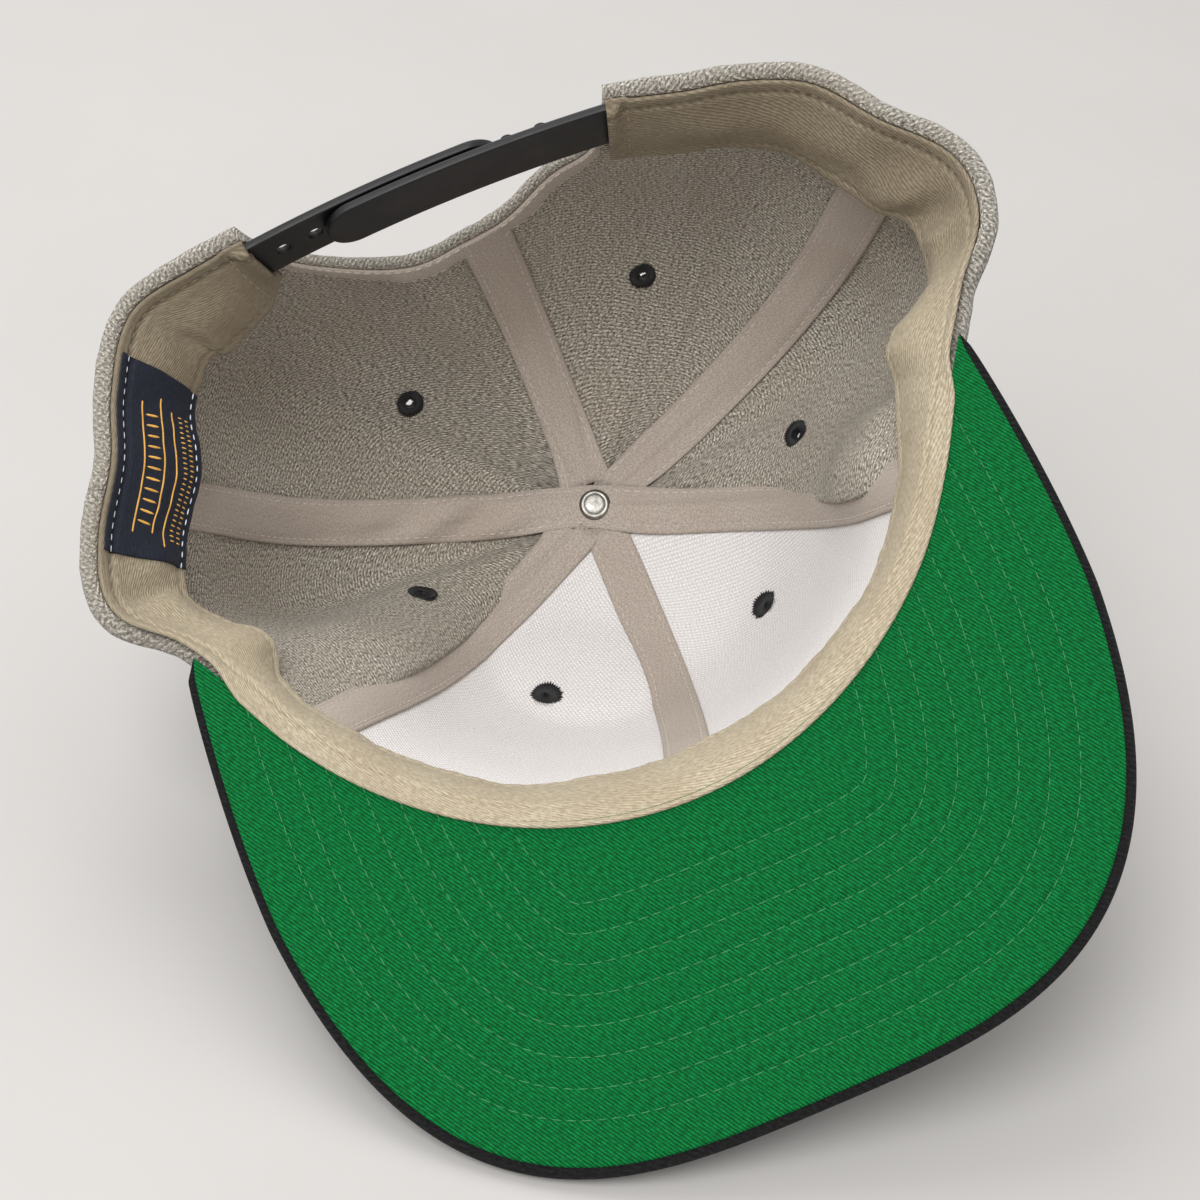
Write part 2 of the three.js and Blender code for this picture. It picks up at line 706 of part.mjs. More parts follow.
const turned = (deg) => THREE.MathUtils.euclideanModulo(deg, 360)
const panelRows = [
  { name: 'front_panel_right', from: seams.centreFront, to: seams.rightFront },
  { name: 'side_panel_right', from: seams.rightFront, to: seams.rightRear },
  { name: 'back_panel_right', from: seams.rightRear, to: seams.centreBack },
  { name: 'back_panel_left', from: seams.centreBack, to: seams.leftRear },
  { name: 'side_panel_left', from: seams.leftRear, to: seams.leftFront },
  { name: 'front_panel_left', from: seams.leftFront, to: seams.centreFront + 360 },
]
for (const panel of panelRows) {
  const within = (row) => turned(row.at) > panel.from && turned(row.at) < panel.to
  const holes = eyeletRows.filter(within)
  add(panel.name, cut(crownPanel(panel.from, panel.to, 0, woolDepth), ...holes.map(eyeletHole)), greyWool)
  if (panel.name.startsWith('front')) {
    const lining = crownPanel(panel.from, panel.to, layerGap + buckramThick, () => -layerGap)
    const name = panel.name.replace('panel', 'buckram')
    add(name, cut(lining, ...holes.map(eyeletHole)), whiteBuckram)
  }
}
for (const row of eyeletRows) squareToCrown(add(`${row.name}_eyelet`, eyelet(row), blackThread), row)

add('cross_tape', crossTape(), taupeTape)
add('centre_front_tape', seamTape(seams.centreFront, rise(seams.centreFront, tapeStart)), taupeTape)
add('left_front_tape', seamTape(seams.leftFront, rise(seams.leftFront, tapeStart)), taupeTape)
add('right_rear_tape', seamTape(seams.rightRear, rise(seams.rightRear, tapeStart)), taupeTape)
const backTapeFrom = rise(seams.centreBack, archRise + archTapeInset)
add('centre_back_tape', seamTape(seams.centreBack, backTapeFrom, centreBackTapeSteps), taupeTape)
add('back_arch_tape', archTape(), taupeTape)
add('sweatband', sweatband(), creamTwill)
add('woven_label', wovenLabel(), navyWeave)
add('visor_top', visorPlate(0, coverThick, undervisorThick + layerGap), blackWool)
add('undervisor', visorPlate(edgeLip, undervisorThick, 0), greenTwill)

const innerFace = strapInset + strapThick
layStrap(add('snap_strap_holes', strapWithHoles(), blackPlastic), strapEndLeft, strapAlong, innerFace)
const fromRight = strapAlong.clone().negate()
layStrap(add('snap_strap_pegs', strapWithPegs(), blackPlastic), strapEndRight, fromRight, strapInset)

const button = add('top_button', topButton(), blackWool)
button.rotation.x = Math.PI / 2
button.position.copy(crown(0, 1))
const rivet = add('button_rivet', buttonRivet(), silver)
rivet.rotation.x = -Math.PI / 2
rivet.position.copy(crown(0, 1)).z -= tapeDepth + tapeThick + rivetOff

// Laid down, with the origin on the floor under the middle of its box
cap.setRotationFromEuler(turnFor(restLean))
cap.updateMatrixWorld(true)
const box = new THREE.Box3().setFromObject(cap, true)
const middle = box.getCenter(new THREE.Vector3())
cap.position.set(-middle.x, -middle.y, -box.min.z)

export default new THREE.Group().add(cap)
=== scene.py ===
import json
import math
import bmesh
import bpy
import numpy as np
from mathutils import Matrix, Vector

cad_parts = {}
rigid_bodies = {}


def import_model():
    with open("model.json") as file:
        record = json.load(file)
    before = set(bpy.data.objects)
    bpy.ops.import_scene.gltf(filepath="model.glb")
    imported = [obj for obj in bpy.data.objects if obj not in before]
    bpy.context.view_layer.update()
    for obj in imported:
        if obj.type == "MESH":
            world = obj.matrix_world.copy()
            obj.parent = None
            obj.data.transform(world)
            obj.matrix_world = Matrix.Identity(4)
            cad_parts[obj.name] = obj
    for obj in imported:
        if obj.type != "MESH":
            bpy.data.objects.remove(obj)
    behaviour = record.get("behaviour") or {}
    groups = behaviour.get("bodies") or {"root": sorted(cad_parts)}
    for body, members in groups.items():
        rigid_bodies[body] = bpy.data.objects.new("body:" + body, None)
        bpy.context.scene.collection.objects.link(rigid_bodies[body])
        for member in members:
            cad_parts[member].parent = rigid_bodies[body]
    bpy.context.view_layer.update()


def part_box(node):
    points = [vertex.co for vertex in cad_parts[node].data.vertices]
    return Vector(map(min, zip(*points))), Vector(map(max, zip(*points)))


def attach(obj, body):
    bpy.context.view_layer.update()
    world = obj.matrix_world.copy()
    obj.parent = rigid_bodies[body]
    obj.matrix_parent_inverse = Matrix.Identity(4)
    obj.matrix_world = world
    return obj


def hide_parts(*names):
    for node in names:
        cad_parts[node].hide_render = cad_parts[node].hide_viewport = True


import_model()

# How the cap lies, and the camera in the cap's own frame (millimetres, +Y visor, +Z button)
rest = {"turn": 30.9, "roll": 25.2, "lean": -144.5741}
camera = {
    "place": (-2.05, 120.84, -419.94), "ahead": (-0.00235, -0.19479, 0.98084),
    "up": (0.39197, -0.90253, -0.17830), "focus": 2059.8, "frame": 1200, "sensor": 36,
}
crownSize = {
    "reach": 100, "height": 114.8, "topAside": 5.3, "topAhead": -8.8, "topHole": 6, "foldCentre": 0.3,
}
wool = {
    "thick": 1.6, "hemThick": 2.8, "hemTall": 9, "gap": 0.3, "buckram": 0.9, "ripple": 0.75, "frontFade": 4,
}
rimShape = {"turnsAt": 14.7, "pitch": 4.93, "backRise": 11.3, "backPower": 1.3}
seams = {
    "centreFront": 0, "rightFront": 60, "rightRear": 109, "centreBack": 177, "leftRear": 253,
    "leftFront": 299,
}
arch = {"from": 149, "to": 212, "rise": 48, "squareness": 3, "power": 1 / 2.2}
visor = {
    "half": 93.3, "reach": 149.2, "squareness": 3.25, "shoulder": 0.45, "shoulderPower": 0.6, "corner": 80.6,
    "cover": 2.4, "under": 1.1, "lip": 2, "clearFrom": 85, "clearTo": 92,
}
visorThick = visor["cover"] + visor["under"] + wool["gap"]

# Rim from above: direction from the front and share of the reach
rimRows = [
    (0, 0.828), (30, 0.82), (45, 0.822), (62, 0.832), (75, 0.865), (86, 0.945), (94, 1.05), (102, 1.08),
    (112, 1.02), (122, 0.998), (130, 0.935), (138, 0.86), (149, 0.805), (165, 0.735), (180, 0.71),
    (195, 0.72), (212, 0.853), (219, 0.915), (228, 1), (240, 0.985), (249, 0.965), (259, 1), (266, 1.015),
    (271, 0.99), (277, 0.9), (286, 0.85), (298, 0.832), (315, 0.822), (330, 0.822),
]
# Crown's line: share along it, share of the height, share of the reach in front, at the side and behind
crownRows = [
    (0, 0, 1, 1, 1), (0.14, 0.15, 0.945, 0.94, 0.955), (0.28, 0.3, 0.895, 0.885, 0.91),
    (0.42, 0.46, 0.85, 0.825, 0.87), (0.56, 0.62, 0.79, 0.745, 0.8), (0.68, 0.755, 0.71, 0.635, 0.7),
    (0.78, 0.85, 0.61, 0.52, 0.58), (0.88, 0.93, 0.43, 0.36, 0.41), (0.95, 0.975, 0.25, 0.2, 0.24),
    (1, 1, 0, 0, 0),
]
# Folds of the whole crown: direction, share along it, half spreads, push outwards as a share of the reach
foldRows = [
    (291, 0.52, 11, 0.22, -0.055), (262, 0.62, 16, 0.2, 0.035), (67, 0.4, 9, 0.16, -0.045),
    (88, 0.42, 12, 0.18, 0.035), (146, 0.52, 16, 0.2, 0.035), (160, 0.33, 9, 0.14, 0.05),
    (215, 0.45, 14, 0.2, 0.02),
]
# The right front seam runs straighter than the panels' even lines: half spread, shares along it and degrees
seamBend = {"wide": 14, "along": (0.35, 0.6, 0.79, 0.92, 0.98, 1), "turn": (0, 1.9, 4.1, 5.7, 7.0, 6.0)}
# Height over which the cloth bends as it meets the surface
floorBend = 1.2


def smooth(t):
    k = np.clip(t, 0, 1)
    return k * k * (3 - 2 * k)


def wrap(deg):
    return np.mod(np.asarray(deg, float) + 180, 360) - 180


def hermite(t, h, y0, y1, m0, m1):
    return (
        (2 * t**3 - 3 * t**2 + 1) * y0 + (t**3 - 2 * t**2 + t) * h * m0
        + (3 * t**2 - 2 * t**3) * y1 + (t**3 - t**2) * h * m1
    )


def rimReach(deg):
    at, reach = np.array(rimRows, float).T
    n = len(at)
    x = np.mod(np.asarray(deg, float), 360)
    i = np.searchsorted(at, x, side="right") - 1
    where = lambda k: at[np.mod(k, n)] + 360 * np.floor_divide(k, n)
    value = lambda k: reach[np.mod(k, n)]
    slope = lambda k: (value(k + 1) - value(k - 1)) / (where(k + 1) - where(k - 1))
    h = where(i + 1) - where(i)
    return crownSize["reach"] * hermite((x - where(i)) / h, h, value(i), value(i + 1), slope(i), slope(i + 1))


def crownRow(along, column):
    at = np.array([row[0] for row in crownRows], float)
    value = np.array([row[column] for row in crownRows], float)
    n = len(at)
    x = np.clip(along, 0, 1)
    i = np.clip(np.searchsorted(at, x, side="right") - 1, 0, n - 2)
    lo, hi = np.maximum(np.arange(n) - 1, 0), np.minimum(np.arange(n) + 1, n - 1)
    slope = (value[hi] - value[lo]) / (at[hi] - at[lo])
    h = at[i + 1] - at[i]
    return hermite((x - at[i]) / h, h, value[i], value[i + 1], slope[i], slope[i + 1])


def rimPoint(deg):
    reach, a = rimReach(deg), np.radians(deg)
    x, y = reach * np.sin(a), reach * np.cos(a)
    behind = np.maximum(rimShape["turnsAt"] - y, 0) / crownSize["reach"]
    ahead = (rimShape["turnsAt"] - y) * math.tan(math.radians(rimShape["pitch"]))
    backRise = rimShape["backRise"] * behind ** rimShape["backPower"]
    return np.stack([x, y, np.where(y > rimShape["turnsAt"], ahead, backRise)], -1)


def freeCrown(deg, along):
    deg, along = np.broadcast_arrays(np.asarray(deg, float), np.asarray(along, float))
    rim, up, ahead = rimPoint(deg), crownRow(along, 1), np.cos(np.radians(deg))
    front, back = np.maximum(ahead, 0) ** 2, np.maximum(-ahead, 0) ** 2
    reach = front * crownRow(along, 2) + back * crownRow(along, 4) + (1 - front - back) * crownRow(along, 3)
    p = np.stack([
        rim[..., 0] * reach + crownSize["topAside"] * up,
        rim[..., 1] * reach + crownSize["topAhead"] * up,
        rim[..., 2] + (crownSize["height"] - rim[..., 2]) * up,
    ], -1)
    out = p - np.array([0, 0, crownSize["height"] * crownSize["foldCentre"]])
    out /= np.linalg.norm(out, axis=-1, keepdims=True)
    for at, middle, wide, tall, push in foldRows:
        spread = (wrap(deg - at) / wide) ** 2 + ((along - middle) / tall) ** 2
        p = p + (push * crownSize["reach"] * np.exp(-spread))[..., None] * out
    return p


def turnMatrix():
    turn, lean, roll = (math.radians(rest[k]) for k in ("turn", "lean", "roll"))
    return np.array(
        Matrix.Rotation(turn, 3, "Z") @ Matrix.Rotation(lean, 3, "X") @ Matrix.Rotation(roll, 3, "Y")
    )


capTurn = turnMatrix()


def visorEdge(share, inset=0.0):
    angle = (np.asarray(share, float) - 0.5) * np.pi
    power = 2 / visor["squareness"]
    ahead = np.abs(np.cos(angle)) ** power
    corner = rimPoint(visor["corner"])
    narrow = corner[0] / visor["half"]
    shoulder = np.minimum(ahead / visor["shoulder"], 1) ** visor["shoulderPower"]
    half = visor["half"] * (narrow + (1 - narrow) * shoulder) - inset
    x = np.sign(angle) * np.abs(np.sin(angle)) ** power * half
    return np.stack([x, corner[1] + ahead * (visor["reach"] - corner[1] - inset)], -1)


def onPlate(flat, height):
    # A point of the visor's flat plan, tilted with the plate, at a height above its green face
    pitch = math.radians(-rimShape["pitch"])
    y = flat[..., 1] - rimShape["turnsAt"]
    z = np.broadcast_to(np.asarray(height, float), y.shape)
    return np.stack([
        flat[..., 0], y * math.cos(pitch) - z * math.sin(pitch) + rimShape["turnsAt"],
        y * math.sin(pitch) + z * math.cos(pitch),
    ], -1)


edgePoints = onPlate(visorEdge(np.linspace(0, 1, 481)), visorThick)
floorwards = capTurn.T @ np.array([0, 0, -1.0])
floorLevel = (onPlate(visorEdge(np.linspace(0, 1, 97)), visorThick) @ floorwards).max()
coverFoot = onPlate(visorEdge(np.linspace(0, 1, 481)), visor["under"] + wool["gap"])
visorSolid = np.concatenate([edgePoints, coverFoot]) @ capTurn.T
visorBox = np.array(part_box("visor_top")) * 1000
capShift = np.array([
    (visorBox[0][0] - visorSolid[:, 0].min() + visorBox[1][0] - visorSolid[:, 0].max()) / 2,
    visorBox[0][1] - visorSolid[:, 1].min(),
    visorBox[0][2] - visorSolid[:, 2].min(),
])
print("cap placed at", capShift.round(2), "mm")


def place(points):
    return (np.asarray(points) @ capTurn.T + capShift) / 1000


def crown(deg, along):
    # The crown as it lies, with the right front seam turned a little and the underside pressed flat
    deg, along = np.asarray(deg, float), np.asarray(along, float)
    near = np.exp(-((wrap(deg - seams["rightFront"]) / seamBend["wide"]) ** 2))
    p = freeCrown(deg + near * np.interp(along, seamBend["along"], seamBend["turn"]), along)
    over = p @ floorwards + wool["thick"] - floorLevel
    soft = np.clip(over + floorBend, 0, 2 * floorBend) ** 2 / (4 * floorBend)
    return p - np.where(over < floorBend, soft, over)[..., None] * floorwards


def crownFacing(deg, along):
    step, up = 0.4, 0.004
    t = np.minimum(np.asarray(along, float), 1 - 3 * up)
    across = crown(deg + step, t) - crown(deg - step, t)
    upward = crown(deg, t + up) - crown(deg, np.maximum(t - up, 0))
    facing = np.cross(across, upward)
    return facing / np.linalg.norm(facing, axis=-1, keepdims=True)


def layer(deg, along, depth):
    deg, along = np.broadcast_arrays(np.asarray(deg, float), np.asarray(along, float))
    depth = np.broadcast_to(np.asarray(depth, float), deg.shape)
    return crown(deg, along) + crownFacing(deg, along) * depth[..., None]


runDegrees = np.arange(0, 361, 1.0)
runPoints = freeCrown(runDegrees[:, None], np.linspace(0, 1, 25)[None])
runLengths = np.linalg.norm(np.diff(runPoints, axis=1), axis=-1).sum(1)


def rise(deg, tall):
    return np.asarray(tall, float) / np.interp(np.mod(deg, 360), runDegrees, runLengths)


def aside(deg, along, distance):
    p, top = crown(deg, along), crown(0, 1)
    return np.degrees(
        np.arcsin(np.clip(distance / np.hypot(p[..., 0] - top[0], p[..., 1] - top[1]), -0.9, 0.9))
    )


def panelStart(deg):
    turn = np.mod(deg, 360)
    across = np.abs((2 * turn - arch["from"] - arch["to"]) / (arch["to"] - arch["from"]))
    opening = rise(turn, arch["rise"]) * np.clip(1 - across ** arch["squareness"], 0, 1) ** arch["power"]
    clear = smooth((visor["clearTo"] - np.abs(wrap(deg))) / (visor["clearTo"] - visor["clearFrom"]))
    return np.where(
        (turn > arch["from"]) & (turn < arch["to"]), opening, clear * rise(deg, visorThick + 3 * wool["gap"]),
    )


def nearTop(deg, radius):
    deg = np.asarray(deg, float)
    far, near = np.full(deg.shape, 0.7), np.ones(deg.shape)
    top = crown(0, 1)
    for _ in range(24):
        middle = (far + near) / 2
        p = crown(deg, middle)
        outside = np.hypot(p[..., 0] - top[0], p[..., 1] - top[1]) > radius
        far, near = np.where(outside, middle, far), np.where(outside, near, middle)
    return near


# Nodes, groups and materials

def tone(red, green, blue):
    # A colour as the eye sees it, from 0 to 255, as the light's own shares
    shares = [c / 255 / 12.92 if c <= 10 else ((c / 255 + 0.055) / 1.055) ** 2.4 for c in (red, green, blue)]
    return (*shares, 1)


def addNode(tree, kind, values=None, **settings):
    made = tree.nodes.new(kind)
    for key, value in settings.items():
        setattr(made, key, value)
    for key, value in (values or {}).items():
        socket = made.inputs[key]
        if isinstance(value, bpy.types.NodeSocket):
            tree.links.new(value, socket)
        else:
            socket.default_value = value
    return made


def calc(tree, operation, *values):
    return addNode(tree, "ShaderNodeMath", dict(enumerate(values)), operation=operation).outputs[0]


def blendColours(tree, fac, a, b, kind="MIX"):
    made = addNode(tree, "ShaderNodeMix", {0: fac, 6: a, 7: b}, data_type="RGBA", blend_type=kind)
    return made.outputs[2]


def shaderGroup(name, inputs, outputs):
    tree = bpy.data.node_groups.new(name, "ShaderNodeTree")
    for label, kind, value in inputs:
        made = tree.interface.new_socket(label, in_out="INPUT", socket_type=kind)
        if value is not None:
            made.default_value = value
    for label, kind in outputs:
        tree.interface.new_socket(label, in_out="OUTPUT", socket_type=kind)
    return tree, tree.nodes.new("NodeGroupInput").outputs, tree.nodes.new("NodeGroupOutput").inputs


number, vector = "NodeSocketFloat", "NodeSocketVector"


def weaveGroup():
    # Slanted ribs cut into knots, for twill, wool and plain weave alike
    tree, given, out = shaderGroup(
        "weave",
        [("Vector", vector, None), ("Pitch", number, 1.0), ("Slant", number, 0.8), ("Knot", number, 1.0),
         ("Knot Depth", number, 0.5), ("Waver", number, 0.2), ("Waver Size", number, 6.0)],
        [("Height", number)],
    )
    turned = addNode(
        tree, "ShaderNodeVectorRotate", {"Vector": given["Vector"], "Angle": given["Slant"]},
        rotation_type="Z_AXIS",
    )
    scale = calc(tree, "DIVIDE", 1.0, given["Waver Size"])
    noise = addNode(tree, "ShaderNodeTexNoise", {"Vector": given["Vector"], "Scale": scale, "Detail": 2.0})
    split = addNode(tree, "ShaderNodeSeparateXYZ", {0: turned.outputs[0]})
    shift = calc(tree, "MULTIPLY", calc(tree, "SUBTRACT", noise.outputs["Fac"], 0.5), given["Waver"])
    across = calc(tree, "ADD", calc(tree, "DIVIDE", split.outputs["X"], given["Pitch"]), shift)
    rib = calc(
        tree, "MULTIPLY_ADD", calc(tree, "SINE", calc(tree, "MULTIPLY", across, 2 * math.pi)), 0.5, 0.5,
    )
    row = calc(tree, "MULTIPLY", calc(tree, "FLOOR", calc(tree, "ADD", across, 0.25)), 0.37)
    run = calc(tree, "ADD", calc(tree, "DIVIDE", split.outputs["Y"], given["Knot"]), row)
    knot = calc(tree, "MULTIPLY_ADD", calc(tree, "SINE", calc(tree, "MULTIPLY", run, 2 * math.pi)), 0.5, 0.5)
    keep = calc(
        tree, "SUBTRACT", 1.0, calc(tree, "MULTIPLY", given["Knot Depth"], calc(tree, "SUBTRACT", 1.0, knot)),
    )
    tree.links.new(calc(tree, "MULTIPLY", rib, keep), out["Height"])
    return tree


def heatherGroup():
    # Light and dark fibres mixed in the yarn, drawn out along it
    tree, given, out = shaderGroup(
        "heather",
        [("Vector", vector, None), ("Slant", number, 0.8), ("Size", number, 0.8), ("Stretch", number, 0.4)],
        [("Fleck", number)],
    )
    turned = addNode(
        tree, "ShaderNodeVectorRotate", {"Vector": given["Vector"], "Angle": given["Slant"]},
        rotation_type="Z_AXIS",
    )
    squeeze = addNode(tree, "ShaderNodeCombineXYZ", {0: 1.0, 1: given["Stretch"], 2: 1.0})
    drawn = addNode(
        tree, "ShaderNodeVectorMath", {0: turned.outputs[0], 1: squeeze.outputs[0]}, operation="MULTIPLY",
    )
    fine = calc(tree, "DIVIDE", 1.0, given["Size"])
    fleck = addNode(tree, "ShaderNodeTexNoise", {
        "Vector": drawn.outputs[0], "Scale": fine, "Detail": 3.0, "Roughness": 0.65,
    })
    sharp = addNode(tree, "ShaderNodeMapRange", {0: fleck.outputs["Fac"], 1: 0.4, 2: 0.6, 3: 0.0, 4: 1.0})
    tree.links.new(sharp.outputs[0], out["Fleck"])
    return tree


def soilGroup():
    # Uneven handling and fading over the whole piece, in the cap's own space
    tree, given, out = shaderGroup(
        "soil", [("Vector", vector, None), ("Size", number, 30.0)], [("Mask", number)],
    )
    noise = addNode(tree, "ShaderNodeTexNoise", {
        "Vector": given["Vector"], "Scale": calc(tree, "DIVIDE", 1000.0, given["Size"]), "Detail": 5.0,
        "Roughness": 0.6,
    })
    spread = addNode(tree, "ShaderNodeMapRange", {0: noise.outputs["Fac"], 1: 0.3, 2: 0.7, 3: 0.0, 4: 1.0})
    tree.links.new(spread.outputs[0], out["Mask"])
    return tree


weave, heather, soil = weaveGroup(), heatherGroup(), soilGroup()


def placeGroup(tree, group, values):
    made = tree.nodes.new("ShaderNodeGroup")
    made.node_tree = group
    for key, value in values.items():
        if isinstance(value, bpy.types.NodeSocket):
            tree.links.new(value, made.inputs[key])
        else:
            made.inputs[key].default_value = value
    return made.outputs


def newMaterial(name, **shader):
    material = bpy.data.materials.new(name)
    material.use_nodes = True
    tree = material.node_tree
    principled = tree.nodes["Principled BSDF"]
    for key, value in shader.items():
        principled.inputs[key.replace("_", " ")].default_value = value
    return material, tree, principled


def clothSpace(tree):
    uv = addNode(tree, "ShaderNodeUVMap", uv_map="cloth")
    return addNode(tree, "ShaderNodeVectorMath", {0: uv.outputs[0], 3: 1000.0}, operation="SCALE").outputs[0]


def clothMaterial(name, look):
    # One woven cloth: dark and light yarn, the weave's ribs, soil, and the weave's height as bump
    material, tree, principled = newMaterial(
        name, Roughness=look["rough"], Sheen_Weight=look["sheen"], Sheen_Roughness=0.5,
    )
    principled.inputs["Specular IOR Level"].default_value = look.get("shine", 0.2)
    mm = clothSpace(tree)
    slant = math.radians(look["slant"])
    ribs = placeGroup(tree, weave, {
        "Vector": mm, "Pitch": look["pitch"], "Slant": slant, "Knot": look["knot"],
        "Knot Depth": look["knotDepth"], "Waver": look["waver"], "Waver Size": look.get("waverSize", 6.0),
    })
    yarn = placeGroup(tree, heather, {
        "Vector": mm, "Slant": slant, "Size": look["fleckSize"], "Stretch": look["fleckStretch"],
    })
    objectSpace = addNode(tree, "ShaderNodeTexCoord").outputs["Object"]
    dirt = placeGroup(tree, soil, {"Vector": objectSpace, "Size": look.get("soilSize", 30.0)})["Mask"]
    base = blendColours(tree, yarn["Fleck"], look["dark"], look["light"])
    valley = addNode(tree, "ShaderNodeMapRange", {
        0: ribs["Height"], 1: 0.0, 2: 0.75, 3: 1 - look["ribShade"], 4: 1.0,
    }).outputs[0]
    shaded = blendColours(tree, 1.0, base, valley, "MULTIPLY")
    faded = blendColours(tree, calc(tree, "MULTIPLY", dirt, look["soil"]), shaded, look["soilTone"])
    if "sideShadeAndStain" in look:
        # Painted shade standing in for the shadow on the band's sides and rear, together with the real
        # staining there: darker from one distance along the band to another
        first, last, depth = look["sideShadeAndStain"]
        far = calc(tree, "ABSOLUTE", addNode(tree, "ShaderNodeSeparateXYZ", {0: mm}).outputs["X"])
        grown = addNode(
            tree, "ShaderNodeMapRange", {0: far, 1: first, 2: last, 3: 0.0, 4: depth},
            interpolation_type="SMOOTHSTEP",
        )
        faded = blendColours(tree, grown.outputs[0], faded, look["sideShadeAndStainTone"], "MULTIPLY")
    tree.links.new(faded, principled.inputs["Base Color"])
    height = calc(
        tree, "ADD", calc(tree, "MULTIPLY", ribs["Height"], 0.7),
        calc(tree, "MULTIPLY", yarn["Fleck"], look["fuzz"]),
    )
    bump = addNode(tree, "ShaderNodeBump", {
        "Height": height, "Strength": look["bump"], "Distance": look["bumpDepth"] / 1000,
    })
    tree.links.new(bump.outputs[0], principled.inputs["Normal"])
    rough = calc(tree, "MULTIPLY_ADD", dirt, 0.06, look["rough"] - 0.03)
    tree.links.new(rough, principled.inputs["Roughness"])
    return material


clothLooks = {
    "woolInside": {
        "dark": tone(112, 103, 89), "light": tone(236, 228, 214), "soilTone": tone(152, 138, 117),
        "soil": 0.26, "pitch": 1.0, "slant": 70, "knot": 0.9, "knotDepth": 0.6, "waver": 0.7,
        "waverSize": 5.0, "fleckSize": 0.44, "fleckStretch": 0.5, "fuzz": 0.5, "ribShade": 0.5, "bump": 0.9,
        "bumpDepth": 0.5, "rough": 0.95, "sheen": 0.1,
    },
    "woolOutside": {
        "dark": tone(104, 99, 90), "light": tone(204, 198, 187), "soilTone": tone(146, 138, 124),
        "soil": 0.35, "pitch": 1.05, "slant": -48, "knot": 1.2, "knotDepth": 0.6, "waver": 0.35,
        "fleckSize": 0.42, "fleckStretch": 0.6, "fuzz": 0.5, "ribShade": 0.45, "bump": 0.9, "bumpDepth": 0.5,
        "rough": 0.95, "sheen": 0.2,
    },
    "buckramCloth": {
        "dark": tone(214, 210, 209), "light": tone(238, 235, 235), "soilTone": tone(220, 214, 208),
        "soil": 0.3, "pitch": 0.95, "slant": 38, "knot": 1.1, "knotDepth": 0.85, "waver": 0.15,
        "fleckSize": 0.5, "fleckStretch": 0.8, "fuzz": 0.1, "ribShade": 0.3, "bump": 0.7, "bumpDepth": 0.3,
        "rough": 0.85, "sheen": 0.05,
    },
    "seamTape": {
        "dark": tone(152, 141, 131), "light": tone(182, 171, 161), "soilTone": tone(146, 132, 118),
        "soil": 0.35, "pitch": 0.42, "slant": 20, "knot": 0.5, "knotDepth": 0.6, "waver": 0.4,
        "fleckSize": 0.45, "fleckStretch": 0.7, "fuzz": 0.35, "ribShade": 0.12, "bump": 0.5,
        "bumpDepth": 0.14, "rough": 0.88, "sheen": 0.1,
    },
    "bandTwill": {
        "dark": tone(158, 146, 123), "light": tone(190, 179, 157), "soilTone": tone(140, 125, 101),
        "soil": 0.4, "pitch": 0.66, "slant": 106, "knot": 3.2, "knotDepth": 0.25, "waver": 0.35,
        "fleckSize": 0.5, "soilSize": 16.0, "fleckStretch": 0.35, "fuzz": 0.3, "ribShade": 0.3, "bump": 0.65,
        # The band's sides and rear are darkened: painted shade, together with some real staining
        "bumpDepth": 0.24, "rough": 0.85, "sheen": 0.05, "sideShadeAndStain": (105, 165, 1.0),
        "sideShadeAndStainTone": tone(190, 187, 184),
    },
    "underTwill": {
        "dark": tone(0, 92, 40), "light": tone(4, 124, 60), "soilTone": tone(2, 90, 43), "soil": 0.12,
        "shine": 0.1, "pitch": 0.66, "slant": 34, "knot": 0.56, "knotDepth": 0.5, "waver": 0.1,
        "fleckSize": 0.5, "fleckStretch": 0.35, "fuzz": 0.15, "ribShade": 0.72, "bump": 0.8,
        "bumpDepth": 0.26, "rough": 0.8, "sheen": 0.0,
    },
    "coverWool": {
        "dark": tone(8, 8, 9), "light": tone(28, 28, 30), "soilTone": tone(34, 33, 32), "soil": 0.15,
        "pitch": 1.1, "slant": 52, "knot": 1.6, "knotDepth": 0.6, "waver": 0.4, "fleckSize": 0.5,
        "fleckStretch": 0.4, "fuzz": 0.6, "ribShade": 0.4, "bump": 0.8, "bumpDepth": 0.4, "rough": 0.95,
        "sheen": 0.02,
    },
    "labelSatin": {
        "dark": tone(13, 18, 29), "light": tone(25, 31, 46), "soilTone": tone(30, 32, 40), "soil": 0.15,
        "pitch": 0.32, "slant": 90, "knot": 0.6, "knotDepth": 0.4, "waver": 0.1, "fleckSize": 0.4,
        "fleckStretch": 0.3, "fuzz": 0.2, "ribShade": 0.25, "bump": 0.5, "bumpDepth": 0.1, "rough": 0.6,
        "sheen": 0.05,
    },
}
materials = {name: clothMaterial(name, look) for name, look in clothLooks.items()}


